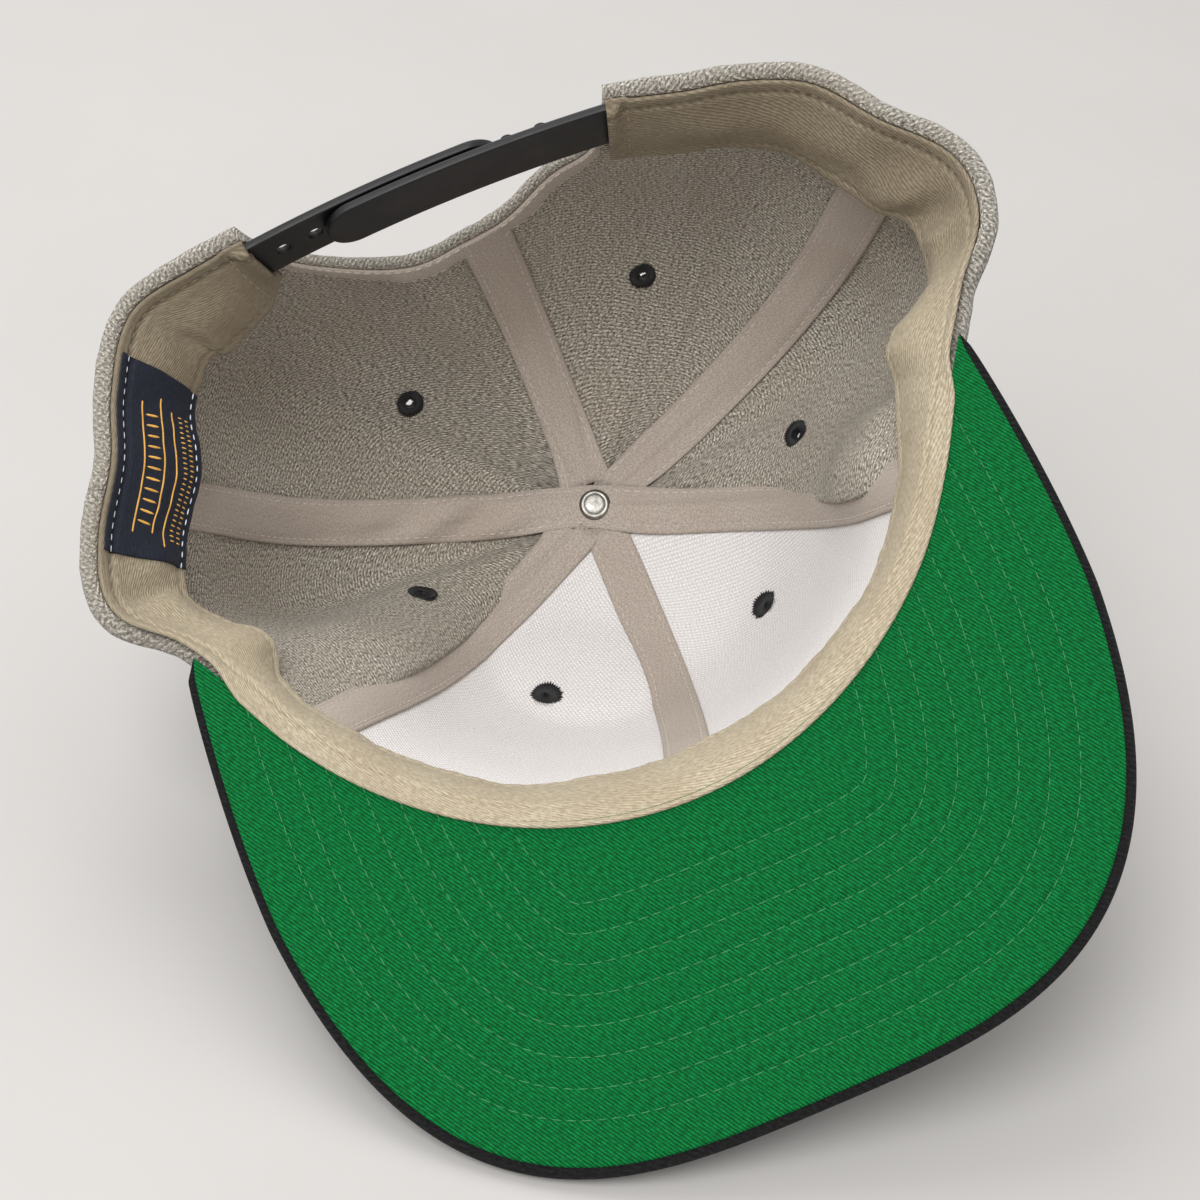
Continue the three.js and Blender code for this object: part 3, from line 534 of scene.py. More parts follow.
def threadMaterial(name, dark, light, rough=0.6, sheen=0.1):
    # Twisted sewing thread: fine plies across it and a little change of tone from stitch to stitch
    material, tree, principled = newMaterial(name, Roughness=rough, Sheen_Weight=sheen)
    space = addNode(tree, "ShaderNodeTexCoord").outputs["Object"]
    ply = addNode(tree, "ShaderNodeTexNoise", {"Vector": space, "Scale": 2600.0, "Detail": 2.0})
    patch = addNode(tree, "ShaderNodeTexNoise", {"Vector": space, "Scale": 260.0, "Detail": 2.0})
    fac = calc(tree, "MULTIPLY", calc(tree, "ADD", ply.outputs["Fac"], patch.outputs["Fac"]), 0.5)
    spread = addNode(tree, "ShaderNodeMapRange", {0: fac, 1: 0.35, 2: 0.65, 3: 0.0, 4: 1.0}).outputs[0]
    tree.links.new(blendColours(tree, spread, dark, light), principled.inputs["Base Color"])
    bump = addNode(tree, "ShaderNodeBump", {
        "Height": ply.outputs["Fac"], "Strength": 0.6, "Distance": 0.00015,
    })
    tree.links.new(bump.outputs[0], principled.inputs["Normal"])
    return material


threads = {
    "tapeThread": threadMaterial("tapeThread", tone(165, 154, 144), tone(196, 187, 178)),
    "bandThread": threadMaterial("bandThread", tone(162, 150, 128), tone(196, 186, 167)),
    "bandDarkThread": threadMaterial("bandDarkThread", tone(118, 104, 84), tone(150, 136, 112)),
    "greyThread": threadMaterial("greyThread", tone(140, 138, 133), tone(190, 188, 182)),
    "greenThread": threadMaterial("greenThread", tone(2, 92, 42), tone(12, 118, 58)),
    "blackThread": threadMaterial("blackThread", tone(4, 4, 6), tone(17, 17, 20), rough=0.6, sheen=0.0),
    "labelThread": threadMaterial("labelThread", tone(176, 182, 198), tone(222, 225, 232)),
    "goldThread": threadMaterial("goldThread", tone(176, 124, 40), tone(222, 170, 76)),
}


def plasticMaterial():
    material, tree, principled = newMaterial("mouldedPlastic", Roughness=0.4)
    principled.inputs["Specular IOR Level"].default_value = 0.3
    space = addNode(tree, "ShaderNodeTexCoord").outputs["Object"]
    grain = addNode(tree, "ShaderNodeTexNoise", {"Vector": space, "Scale": 1800.0, "Detail": 3.0})
    scuff = placeGroup(tree, soil, {"Vector": space, "Size": 9.0})["Mask"]
    tree.links.new(
        blendColours(tree, calc(tree, "MULTIPLY", scuff, 0.5), tone(13, 13, 15), tone(23, 23, 26)),
        principled.inputs["Base Color"],
    )
    tree.links.new(calc(tree, "MULTIPLY_ADD", scuff, 0.16, 0.34), principled.inputs["Roughness"])
    bump = addNode(tree, "ShaderNodeBump", {
        "Height": grain.outputs["Fac"], "Strength": 0.35, "Distance": 0.00006,
    })
    tree.links.new(bump.outputs[0], principled.inputs["Normal"])
    return material


def nickelMaterial():
    material, tree, principled = newMaterial("nickel", Metallic=1.0)
    space = addNode(tree, "ShaderNodeTexCoord").outputs["Object"]
    worn = placeGroup(tree, soil, {"Vector": space, "Size": 2.4})["Mask"]
    tree.links.new(
        blendColours(tree, worn, tone(100, 98, 93), tone(150, 147, 141)), principled.inputs["Base Color"],
    )
    tree.links.new(calc(tree, "MULTIPLY_ADD", worn, -0.1, 0.46), principled.inputs["Roughness"])
    dents = addNode(tree, "ShaderNodeTexNoise", {"Vector": space, "Scale": 420.0, "Detail": 2.0})
    bump = addNode(tree, "ShaderNodeBump", {
        "Height": dents.outputs["Fac"], "Strength": 0.5, "Distance": 0.0003,
    })
    tree.links.new(bump.outputs[0], principled.inputs["Normal"])
    return material


materials["plastic"], materials["nickel"] = plasticMaterial(), nickelMaterial()
materials.update(threads)
print("materials made", len(materials))


# Meshes

pieces = {}


def planUv(points, faces):
    # The cloth of a flat piece is cut from one length, so its threads run straight across it
    return np.asarray(points)[np.array(faces).ravel(), :2]


def makePiece(name, points, faces, uv=None, looks=("woolInside",), lookOf=None, slot=None, nodes=()):
    # Points are in the cap's millimetres, and uv holds one pair in millimetres for each corner of a face
    mesh = bpy.data.meshes.new(name)
    mesh.from_pydata(place(points).tolist(), [], faces)
    if uv is not None:
        layerUv = mesh.uv_layers.new(name="cloth")
        layerUv.data.foreach_set("uv", (np.asarray(uv, np.float32) / 1000).ravel())
    for look in looks:
        mesh.materials.append(materials[look])
    if lookOf is not None:
        mesh.polygons.foreach_set("material_index", np.asarray(lookOf, np.int32))
    mesh.polygons.foreach_set("use_smooth", np.ones(len(mesh.polygons), bool))
    work = bmesh.new()
    work.from_mesh(mesh)
    if work.calc_volume(signed=True) < 0:
        bmesh.ops.reverse_faces(work, faces=work.faces)
    work.to_mesh(mesh)
    work.free()
    piece = bpy.data.objects.new(name, mesh)
    bpy.context.scene.collection.objects.link(piece)
    pieces[name] = {"slot": slot, "nodes": list(nodes)}
    return piece


def tube(rings):
    # In rings[i][j] i runs round the section and j along the piece. Rungs across the section close the ends
    rings = np.asarray(rings)
    count, length = rings.shape[:2]
    around = np.concatenate([rings, rings[:1]])
    middle = length // 2
    alongRow = np.linalg.norm(np.diff(around, axis=1), axis=-1)
    u = np.concatenate([np.zeros((count + 1, 1)), np.cumsum(alongRow, 1)], 1)
    u -= u[:, middle:middle + 1]
    v = np.concatenate([[0], np.cumsum(np.linalg.norm(np.diff(around[:, middle], axis=0), axis=-1))])
    v = np.repeat(v[:, None], length, 1)
    i, j = np.meshgrid(np.arange(count), np.arange(length - 1), indexing="ij")
    i, j = i.ravel(), j.ravel()
    point = lambda a, b: (a % count) * length + b
    faces = np.stack([point(i, j), point(i, j + 1), point(i + 1, j + 1), point(i + 1, j)], 1)
    pair = lambda a, b: np.stack([u[a, b], v[a, b]], -1)
    uv = np.stack([pair(i, j), pair(i, j + 1), pair(i + 1, j + 1), pair(i + 1, j)], 1)
    half = count // 2
    k = np.arange(half - 1)
    capFaces, capUv = [], []
    for end, flip in ((0, False), (length - 1, True)):
        corners = [k, k + 1, count - 2 - k, count - 1 - k]
        if flip:
            corners = corners[::-1]
        capFaces.append(np.stack([point(c, end) for c in corners], 1))
        capUv.append(np.stack([pair(c, end) for c in corners], 1))
    faces = np.concatenate([faces, *capFaces])
    uv = np.concatenate([uv, *capUv])
    return rings.reshape(-1, 3), faces.tolist(), uv.reshape(-1, 2)


def waves(rows, deg, tall):
    # Sum of soft bumps: direction, place along, half spreads and push
    total = np.zeros(np.broadcast(deg, tall).shape)
    for at, middle, wide, high, push in rows:
        total = total + push * np.exp(-((wrap(deg - at) / wide) ** 2) - ((tall - middle) / high) ** 2)
    return total


def ripple(deg, tall, size, seed):
    # Small regular unevenness from a few sines, the same on every run
    a, t = np.asarray(deg, float), np.asarray(tall, float)
    value = 0
    for k, (fa, ft) in enumerate(((0.19, 3.1), (0.43, 7.3), (0.83, -5.2), (1.37, 11.0))):
        value = value + np.sin(fa * a + ft * t + seed * (k + 1.7)) / (k + 1)
    return size * value / 2


def inFront(deg):
    # 1 over the two front panels, which the buckram keeps smooth, and 0 a little way beyond their seams
    turn, fade = wrap(deg), wool["frontFade"]
    pastLeft, beforeRight = turn - seams["leftFront"] + 360, seams["rightFront"] - turn
    return smooth((pastLeft + fade) / fade) * smooth((beforeRight + fade) / fade)


def clothRipple(deg, along):
    return ripple(deg, along, wool["ripple"], 1.0) * (1 - inFront(deg))


# Crown panels

panelRows = [
    ("frontPanelRight", "front_panel_right", "centreFront", "rightFront", 0),
    ("sidePanelRight", "side_panel_right", "rightFront", "rightRear", 0),
    ("backPanelRight", "back_panel_right", "rightRear", "centreBack", 0),
    ("backPanelLeft", "back_panel_left", "centreBack", "leftRear", 0),
    ("sidePanelLeft", "side_panel_left", "leftRear", "leftFront", 0),
    ("frontPanelLeft", "front_panel_left", "leftFront", "centreFront", 360),
]
eyeletRows = [
    ("frontRightEyelet", "front_right_eyelet", 34, 0.7, 0.35),
    ("frontLeftEyelet", "front_left_eyelet", 327, 0.7, 0.35),
    ("sideRightEyelet", "side_right_eyelet", 82, 0.7, 1.5),
    ("sideLeftEyelet", "side_left_eyelet", 280, 0.73, 1.3),
    ("backRightEyelet", "back_right_eyelet", 143, 0.66, 1.5),
    ("backLeftEyelet", "back_left_eyelet", 218, 0.75, 1.5),
]
panel = {
    "columns": 116, "rows": 80, "hemSteps": 7, "seamSink": 0.55, "seamWide": 1.3, "eyelet": 3.2,
    "hemInward": 1.25, "hemInwardTall": 4.5, "stitchDip": 0.25, "stitchDipHalf": 1.2, "lump": 0.3,
    "lumpMost": 0.2, "edgeFade": 0.06, "stagger": 0.75, "edgeRound": 0.9, "bendLength": 0.6,
    "buckramColumns": 80, "buckramRows": 60, "buckramSteps": 3, "drill": 14,
    # Soft folds of the wool alone, inwards in millimetres
    "folds": [
        (262, 0.3, 9, 0.07, 1.4), (100, 0.42, 7, 0.06, 1.0), (96, 0.62, 6, 0.1, -0.8),
        (130, 0.6, 7, 0.18, -0.8), (232, 0.55, 6, 0.14, -0.9), (200, 0.62, 10, 0.1, 0.8),
    ],
    # Where a panel puffs up over the tape on its seam: shares along where it grows and fades, and sizes
    "lapRise": 3.5, "lapFall": 0.4, "shiftRise": 3.0, "shiftFade": 13,
    "laps": {
        "sidePanelLeft": {
            "side": "end", "grow": (0.22, 0.5), "fade": (0.68, 0.97), "depth": 3.4, "lap": 1.4, "width": 34,
        },
        "sidePanelRight": {
            "side": "start", "grow": (0.2, 0.32), "fade": (0.4, 1.0), "depth": 3.4, "lap": 3.4, "width": 28,
        },
    },
}


def panelColumns(start, end, count):
    # Directions at even steps along the panel's lower edge, so that they crowd where it turns up
    deg = np.linspace(start, end, 1600)
    edge = crown(deg, panelStart(deg))
    run = np.concatenate([[0], np.cumsum(np.linalg.norm(np.diff(edge, axis=0), axis=-1))])
    flat = np.linspace(0, 1, len(deg)) * run[-1]
    return np.interp(
        np.linspace(0, run[-1], count + 1), run * panel["stagger"] + flat * (1 - panel["stagger"]), deg,
    )


def lapOver(along, near, fold):
    # Depth and sideways shift of a puffed fold, by the distance from its seam
    (low, grown), (fading, gone) = fold["grow"], fold["fade"]
    reach = smooth((along - low) / (grown - low)) * smooth((gone - along) / (gone - fading))
    fall = smooth((fold["width"] - near) / (fold["width"] * panel["lapFall"]))
    puff = fold["depth"] * smooth(near / panel["lapRise"]) * fall
    shift = fold["lap"] * smooth(near / panel["shiftRise"]) * np.exp(-((near / panel["shiftFade"]) ** 2))
    return reach * puff, reach * shift


def panelFace(start, end, deg, along, low, depthOf, fold):
    # Points of a panel's face, with its puffed fold
    fromTop = crown(deg, along) - crown(0, 1)
    around = np.radians(1) * np.maximum(np.hypot(fromTop[..., 0], fromTop[..., 1]), 1)
    near = np.minimum(deg - start, end - deg) * around
    depth, turned = depthOf(deg, along, low, near), deg
    if fold is not None:
        side = -1 if fold["side"] == "start" else 1
        puff, shift = lapOver(along, (deg - start if side < 0 else end - deg) * around, fold)
        depth, turned = depth + puff, deg + side * shift / around
    return layer(turned, along, depth)


def eyeletSeat(deg, along):
    # Where an eyelet sits on its panel's inner face, and which way the cloth faces there
    name, _, left, right, more = next(
        row for row in panelRows if seams[row[2]] < deg < seams[row[3]] + row[4]
    )
    step = np.array([[0, 0], [0.8, 0], [-0.8, 0], [0, 0.01], [0, -0.01]])
    turns, shares = deg + step[:, 0], along + step[:, 1]
    start, end, fold = seams[left], seams[right] + more, panel["laps"].get(name)
    p = panelFace(start, end, turns, shares, panelStart(turns), woolInner, fold)
    facing = np.cross(p[1] - p[2], p[3] - p[4])
    return p[0], facing / np.linalg.norm(facing)


def panelGrid(start, end, columns, rows, inner, outer, bends, fold=None):
    # Ring of each column: down the inner face, round the lower edge and up the outer face
    deg = panelColumns(start, end, columns)
    low, top = panelStart(deg), nearTop(deg, crownSize["topHole"])
    rings = []
    spread = np.linspace(0, 1, rows + 1)

    def ring(along, depthOf):
        return panelFace(start, end, deg, along, low, depthOf, fold)

    for s in spread[::-1]:
        rings.append(ring(low + (top - low) * s, inner))
    a, b = rings[-1], ring(low, outer)
    radius = np.linalg.norm(b - a, axis=-1, keepdims=True) / 2
    downward = crown(deg, low) - crown(deg, low + 0.01)
    downward /= np.linalg.norm(downward, axis=-1, keepdims=True)
    for k in range(1, bends):
        turn = math.pi * k / bends
        middle = (a + b) / 2 + (a - b) / 2 * math.cos(turn)
        rings.append(middle + downward * radius * math.sin(turn) * panel["edgeRound"])
    for s in spread:
        rings.append(ring(low + (top - low) * s, outer))
    return np.array(rings), deg


def clothUv(start, end, deg, along):
    # Millimetres across and up the cloth, the same whatever its lower edge does
    fine, levels = np.linspace(start, end, 160), np.linspace(0, 1, 41)
    lines = crown(fine[None], levels[:, None])
    across = np.pad(np.cumsum(np.linalg.norm(np.diff(lines, axis=1), axis=-1), 1), ((0, 0), (1, 0)))
    middle = len(fine) // 2
    across -= across[:, middle:middle + 1]
    up = np.pad(np.cumsum(np.linalg.norm(np.diff(lines, axis=0), axis=-1), 0), ((1, 0), (0, 0)))
    return np.stack([
        np.stack([
            np.interp(along[:, j], levels, [np.interp(d, fine, row) for row in sheet])
            for j, d in enumerate(deg)
        ], 1)
        for sheet in (across, up)
    ], -1)


def panelUv(start, end, deg, rows, bends, uv):
    # Takes the place of the tube's own pairs on the two faces and the rounded lower edge
    low, top = panelStart(deg), nearTop(deg, crownSize["topHole"])
    out = clothUv(start, end, deg, low + (top - low) * np.linspace(0, 1, rows + 1)[:, None])
    inside = out[::-1] * (1, -1)
    bend = inside[-1:] + np.stack([
        np.zeros(bends), np.arange(1, bends + 1) * panel["bendLength"],
    ], -1)[:, None]
    down, upward = np.concatenate([inside, bend]), np.concatenate([out, out[-1:]])
    corners = [
        np.stack([sheet[:-1, :-1], sheet[:-1, 1:], sheet[1:, 1:], sheet[1:, :-1]], 2).reshape(-1, 2)
        for sheet in (down, upward)]
    whole = np.concatenate(corners)
    return np.concatenate([whole, uv[len(whole):]])


def woolInner(deg, along, low, near):
    fade = smooth((along - low) / panel["edgeFade"])
    inArch = (np.mod(deg, 360) > arch["from"]) & (np.mod(deg, 360) < arch["to"])
    foot = 1 - smooth((along - low) / rise(deg, panel["hemInwardTall"]))
    foot = np.where(inArch, 0, panel["hemInward"]) * foot
    return waves(panel["folds"], deg, along) + clothRipple(deg, along) * fade + foot


def woolOuter(deg, along, low, near):
    hem = 1 - smooth((along - low) / rise(0, wool["hemTall"]))
    thick = wool["thick"] + (wool["hemThick"] - wool["thick"]) * hem
    groove = panel["seamSink"] * np.exp(-((near / panel["seamWide"]) ** 2)) * (1 - 0.8 * hem)
    lumps = ripple(deg * 1.7, along, panel["lump"], 4.0) * hem
    fromStitch = (along - low) / rise(0, 1) - wool["hemTall"]
    stitchDip = panel["stitchDip"] * np.exp(-(fromStitch / panel["stitchDipHalf"]) ** 2)
    inner = woolInner(deg, along, low, near) * (1 - hem)
    return inner - thick + groove + stitchDip - np.maximum(lumps, -panel["lumpMost"])


def cutHoles(piece, rows, radius):
    # Drills the eyelets' holes straight through a panel
    tools = []
    for name, node, deg, along, bore in rows:
        point, facing = eyeletSeat(deg, along)
        middle, facing = place(point), capTurn @ facing
        tool = bmesh.new()
        bmesh.ops.create_cone(
            tool, segments=28, radius1=radius / 1000, radius2=radius / 1000, depth=panel["drill"] / 1000,
            cap_ends=True,
        )
        tool.transform(
            Matrix.Translation(Vector(middle)) @ Vector(facing).to_track_quat("Z", "Y").to_matrix().to_4x4()
        )
        mesh = bpy.data.meshes.new("drill")
        tool.to_mesh(mesh)
        tool.free()
        tools.append(bpy.data.objects.new("drill", mesh))
        bpy.context.scene.collection.objects.link(tools[-1])
    for tool in tools:
        cut = piece.modifiers.new("hole", "BOOLEAN")
        cut.object, cut.operation, cut.solver = tool, "DIFFERENCE", "MANIFOLD"
    bakeModifiers(piece)
    for tool in tools:
        bpy.data.meshes.remove(tool.data)


def bakeModifiers(piece):
    # The evaluated mesh takes the place of the piece's own, and the modifiers go
    graph = bpy.context.evaluated_depsgraph_get()
    made = bpy.data.meshes.new_from_object(
        piece.evaluated_get(graph), preserve_all_data_layers=True, depsgraph=graph,
    )
    made.name = piece.name
    piece.modifiers.clear()
    piece.data = made
    return piece


def holesIn(start, end):
    return [row for row in eyeletRows if start < row[2] < end]


for name, node, left, right, more in panelRows:
    start, end = seams[left], seams[right] + more
    rings, deg = panelGrid(
        start, end, panel["columns"], panel["rows"], woolInner, woolOuter, panel["hemSteps"],
        panel["laps"].get(name),
    )
    points, faces, uv = tube(rings)
    uv = panelUv(start, end, deg, panel["rows"], panel["hemSteps"], uv)
    insideFaces = (panel["rows"] + 1) * panel["columns"]
    lookOf = np.ones(len(faces), int)
    lookOf[:insideFaces] = 0
    piece = makePiece(name, points, faces, uv, ("woolInside", "woolOutside"), lookOf, "grey_wool", [node])
    cutHoles(piece, holesIn(start, end), panel["eyelet"])
    if node.startswith("front"):
        depth = wool["gap"] + wool["buckram"]
        rings, deg = panelGrid(
            start, end, panel["buckramColumns"], panel["buckramRows"], lambda d, a, l, n: depth + 0 * d,
            lambda d, a, l, n: wool["gap"] + 0 * d, panel["buckramSteps"])
        points, faces, uv = tube(rings)
        uv = panelUv(start, end, deg, panel["buckramRows"], panel["buckramSteps"], uv)
        lining = makePiece(
            name.replace("Panel", "Buckram"), points, faces, uv, ("buckramCloth",), None, "white_buckram",
            [node.replace("panel", "buckram")])
        cutHoles(lining, holesIn(start, end), panel["eyelet"])
print("panels made")


# Geometry Nodes for what repeats

def geometryTree(name, inputs):
    tree = bpy.data.node_groups.new(name, "GeometryNodeTree")
    tree.interface.new_socket("Geometry", in_out="INPUT", socket_type="NodeSocketGeometry")
    for label, kind, value in inputs:
        made = tree.interface.new_socket(label, in_out="INPUT", socket_type=kind)
        if value is not None:
            made.default_value = value
    tree.interface.new_socket("Geometry", in_out="OUTPUT", socket_type="NodeSocketGeometry")
    return tree, tree.nodes.new("NodeGroupInput").outputs, tree.nodes.new("NodeGroupOutput").inputs


def layThreads(tree, given, out, spots, ball, turned, size):
    # One thread on each spot, made real, smooth and dressed in its material
    put = addNode(tree, "GeometryNodeInstanceOnPoints", {
        "Points": spots.outputs[0], "Instance": ball.outputs[0], "Rotation": turned.outputs[0],
        "Scale": size.outputs[0],
    })
    real = addNode(tree, "GeometryNodeRealizeInstances", {"Geometry": put.outputs[0]})
    soft = addNode(tree, "GeometryNodeSetShadeSmooth", {"Geometry": real.outputs[0]})
    thread = {"Geometry": soft.outputs[0], "Material": given["Thread"]}
    dressed = addNode(tree, "GeometryNodeSetMaterial", thread)
    tree.links.new(dressed.outputs[0], out["Geometry"])


def stitchTree():
    # Thread lies along each line in short bowed stitches, square to the cloth's facing
    tree, given, out = geometryTree("stitchRow", [
        ("Spacing", number, 0.0025), ("Stitch Length", number, 0.002), ("Radius", number, 0.00025),
        ("Flatness", number, 0.7), ("Slant", number, 0.0), ("Unevenness", number, 0.1),
        ("Seed", "NodeSocketInt", 1), ("Thread", "NodeSocketMaterial", None),
    ])
    lines = addNode(tree, "GeometryNodeMeshToCurve", {"Mesh": given["Geometry"]})
    dots = addNode(
        tree, "GeometryNodeResampleCurve", {"Curve": lines.outputs[0], "Length": given["Spacing"]},
        mode="LENGTH",
    )
    ball = addNode(tree, "GeometryNodeMeshUVSphere", {"Segments": 8, "Rings": 5, "Radius": 1.0})
    along = addNode(tree, "GeometryNodeInputTangent")
    facing = addNode(tree, "GeometryNodeInputNamedAttribute", {"Name": "facing"}, data_type="FLOAT_VECTOR")
    first = addNode(tree, "FunctionNodeAlignRotationToVector", {"Vector": along.outputs[0]}, axis="X")
    second = addNode(
        tree, "FunctionNodeAlignRotationToVector",
        {"Rotation": first.outputs[0], "Vector": facing.outputs[0]}, axis="Z", pivot_axis="X",
    )
    low = calc(tree, "SUBTRACT", 1.0, given["Unevenness"])
    high = calc(tree, "ADD", 1.0, given["Unevenness"])
    jitter = addNode(tree, "FunctionNodeRandomValue", {"Seed": given["Seed"]}, data_type="FLOAT")
    tree.links.new(low, jitter.inputs[2])
    tree.links.new(high, jitter.inputs[3])
    half = calc(tree, "MULTIPLY", calc(tree, "MULTIPLY", given["Stitch Length"], 0.5), jitter.outputs[1])
    size = addNode(tree, "ShaderNodeCombineXYZ", {
        0: half, 1: given["Radius"], 2: calc(tree, "MULTIPLY", given["Radius"], given["Flatness"]),
    })
    lay = addNode(tree, "FunctionNodeRotateRotation", {"Rotation": second.outputs[0]}, rotation_space="LOCAL")
    turn = addNode(tree, "ShaderNodeCombineXYZ", {2: given["Slant"]})
    tree.links.new(turn.outputs[0], lay.inputs[1])
    layThreads(tree, given, out, dots, ball, lay, size)
    return tree


stitches = stitchTree()


def runTree(piece, tree, values):
    modifier = piece.modifiers.new(tree.name, "NODES")
    modifier.node_group = tree
    sockets = {item.name: item.identifier for item in tree.interface.items_tree if item.in_out == "INPUT"}
    for label, value in values.items():
        modifier[sockets[label]] = value
    return bakeModifiers(piece)


def stitchPiece(
    name, lines, thread, spacing=2.5, length=2.0, radius=0.24, slot=None, slant=0.0, flat=0.7, seed=1,
):
    # Each line is a pair of arrays: points in the cap's millimetres and the way the cloth faces there
    points, facings, edges, start = [], [], [], 0
    for line, facing in lines:
        points.append(line)
        facings.append(np.broadcast_to(facing, line.shape))
        edges += [(start + k, start + k + 1) for k in range(len(line) - 1)]
        start += len(line)
    mesh = bpy.data.meshes.new(name)
    mesh.from_pydata(place(np.concatenate(points)).tolist(), edges, [])
    store = mesh.attributes.new("facing", "FLOAT_VECTOR", "POINT")
    store.data.foreach_set("vector", (np.concatenate(facings) @ capTurn.T).astype(np.float32).ravel())
    piece = bpy.data.objects.new(name, mesh)
    bpy.context.scene.collection.objects.link(piece)
    runTree(piece, stitches, {
        "Spacing": spacing / 1000, "Stitch Length": length / 1000, "Radius": radius / 1000, "Flatness": flat,
        "Slant": slant, "Seed": seed, "Thread": threads[thread],
    })
    for extra in [a.name for a in piece.data.attributes if a.name in ("facing", "UVMap")]:
        piece.data.attributes.remove(piece.data.attributes[extra])
    pieces[name] = {"slot": slot, "nodes": []}
    return piece


# Seam tapes

tape = {
    "half": 6, "start": 9, "thick": 0.5, "dome": 1.15, "clearWool": 0.35, "clearBuckram": 1.32,
    "stitch": 0.78, "domePower": 2.2, "domeShare": 0.62, "pinch": 0.22, "pinchHalf": 0.1, "crease": 0.12,
    "stitchLift": 0.06, "stations": 120, "across": 17, "endRadius": 6.5, "stackFrom": 22, "stackOver": 12,
    "archClear": 0.8, "crossOrder": 1.1, "crossEnd": 12, "crossStations": 150, "crossSoft": 6, "bridge": 1.3,
    "bridgeBack": 1.2,
}
# Slanting creases on the left of the rivet, where the tape is gathered: their place along it, spread and push
gather = {"at": 0.4, "wide": 0.075, "waves": 88, "slant": 2.2, "push": 2.1, "edgeLoss": 0.75}
archBinding = {
    "from": 0.03, "to": 0.97, "stations": 120, "across": 13, "low": 0.8, "half": 3.5, "clear": 0.35,
    "thick": 0.35, "dome": 0.5, "fade": 0.06,
}
# Seam tapes: piece, node, seam, and how far one lies over the next at the top
tapeRows = [
    ("centreFrontTape", "centre_front_tape", "centreFront", 0.0),
    ("leftFrontTape", "left_front_tape", "leftFront", 0.45),
    ("rightRearTape", "right_rear_tape", "rightRear", 0.45),
    ("centreBackTape", "centre_back_tape", "centreBack", 0.0),
]
tapeLines = []


def tapeBase(deg, along):
    # How far inside the wool's inner face a tape's edge rests: on the buckram in front, else on the wool
    lift = tape["clearWool"] + (tape["clearBuckram"] - tape["clearWool"]) * inFront(deg)
    return lift + clothRipple(deg, along) + waves(panel["folds"], deg, along)


def tapeCreases(deg, along, x):
    return ripple(deg * 0 + 3, along * 2.2 + x * 0.1, tape["crease"], 7.0) * (1 - x * x)


def tapeSection(x):
    # Height over the tape's own edge: domed over the seam, pinched down by the two stitch rows
    pinch = tape["pinch"] * np.exp(-(((np.abs(x) - tape["stitch"]) / tape["pinchHalf"]) ** 2))
    return tape["dome"] * (1 - np.abs(x) ** tape["domePower"]) * tape["domeShare"] + tape["thick"] - pinch


def tapeAlong(runs, order):
    x = np.linspace(-1, 1, tape["across"])
    face, back, facings = [], [], []
    top = crown(0, 1)
    for seam, along in runs:
        deg = seam[None] + aside(seam[None], along[None], x[:, None] * tape["half"])
        t = np.broadcast_to(along[None], deg.shape)
        p = crown(deg, t)
        fromTop = np.hypot(p[..., 0] - top[0], p[..., 1] - top[1])
        lift = order * smooth((tape["stackFrom"] - fromTop) / tape["stackOver"])
        base = tapeBase(deg, t) + lift
        face.append(layer(deg, t, base + tapeSection(x)[:, None] + tapeCreases(deg, t, x[:, None])))
        back.append(layer(deg, t, base * 0.9))
        facings.append(crownFacing(deg, t))
    return face, back, facings, x


def finishTape(name, node, face, back, facing, x):
    rings = np.concatenate([face, back[::-1]])
    points, faces, uv = tube(rings)
    makePiece(name, points, faces, uv, ("seamTape",), None, "taupe_tape", [node])
    for side in (-tape["stitch"], tape["stitch"]):
        k = int(np.argmin(np.abs(x - side)))
        tapeLines.append((face[k, 1:-1] + facing[k, 1:-1] * tape["stitchLift"], facing[k, 1:-1]))


for name, node, seam, order in tapeRows:
    at = seams[seam]
    start = rise(at, tape["start"]) if seam != "centreBack" else rise(at, arch["rise"] + tape["archClear"])
    along = np.linspace(start, nearTop(at, tape["endRadius"]), tape["stations"])
    face, back, facings, x = tapeAlong([(np.full(along.shape, float(at)), along)], order)
    finishTape(name, node, face[0], back[0], facings[0], x)


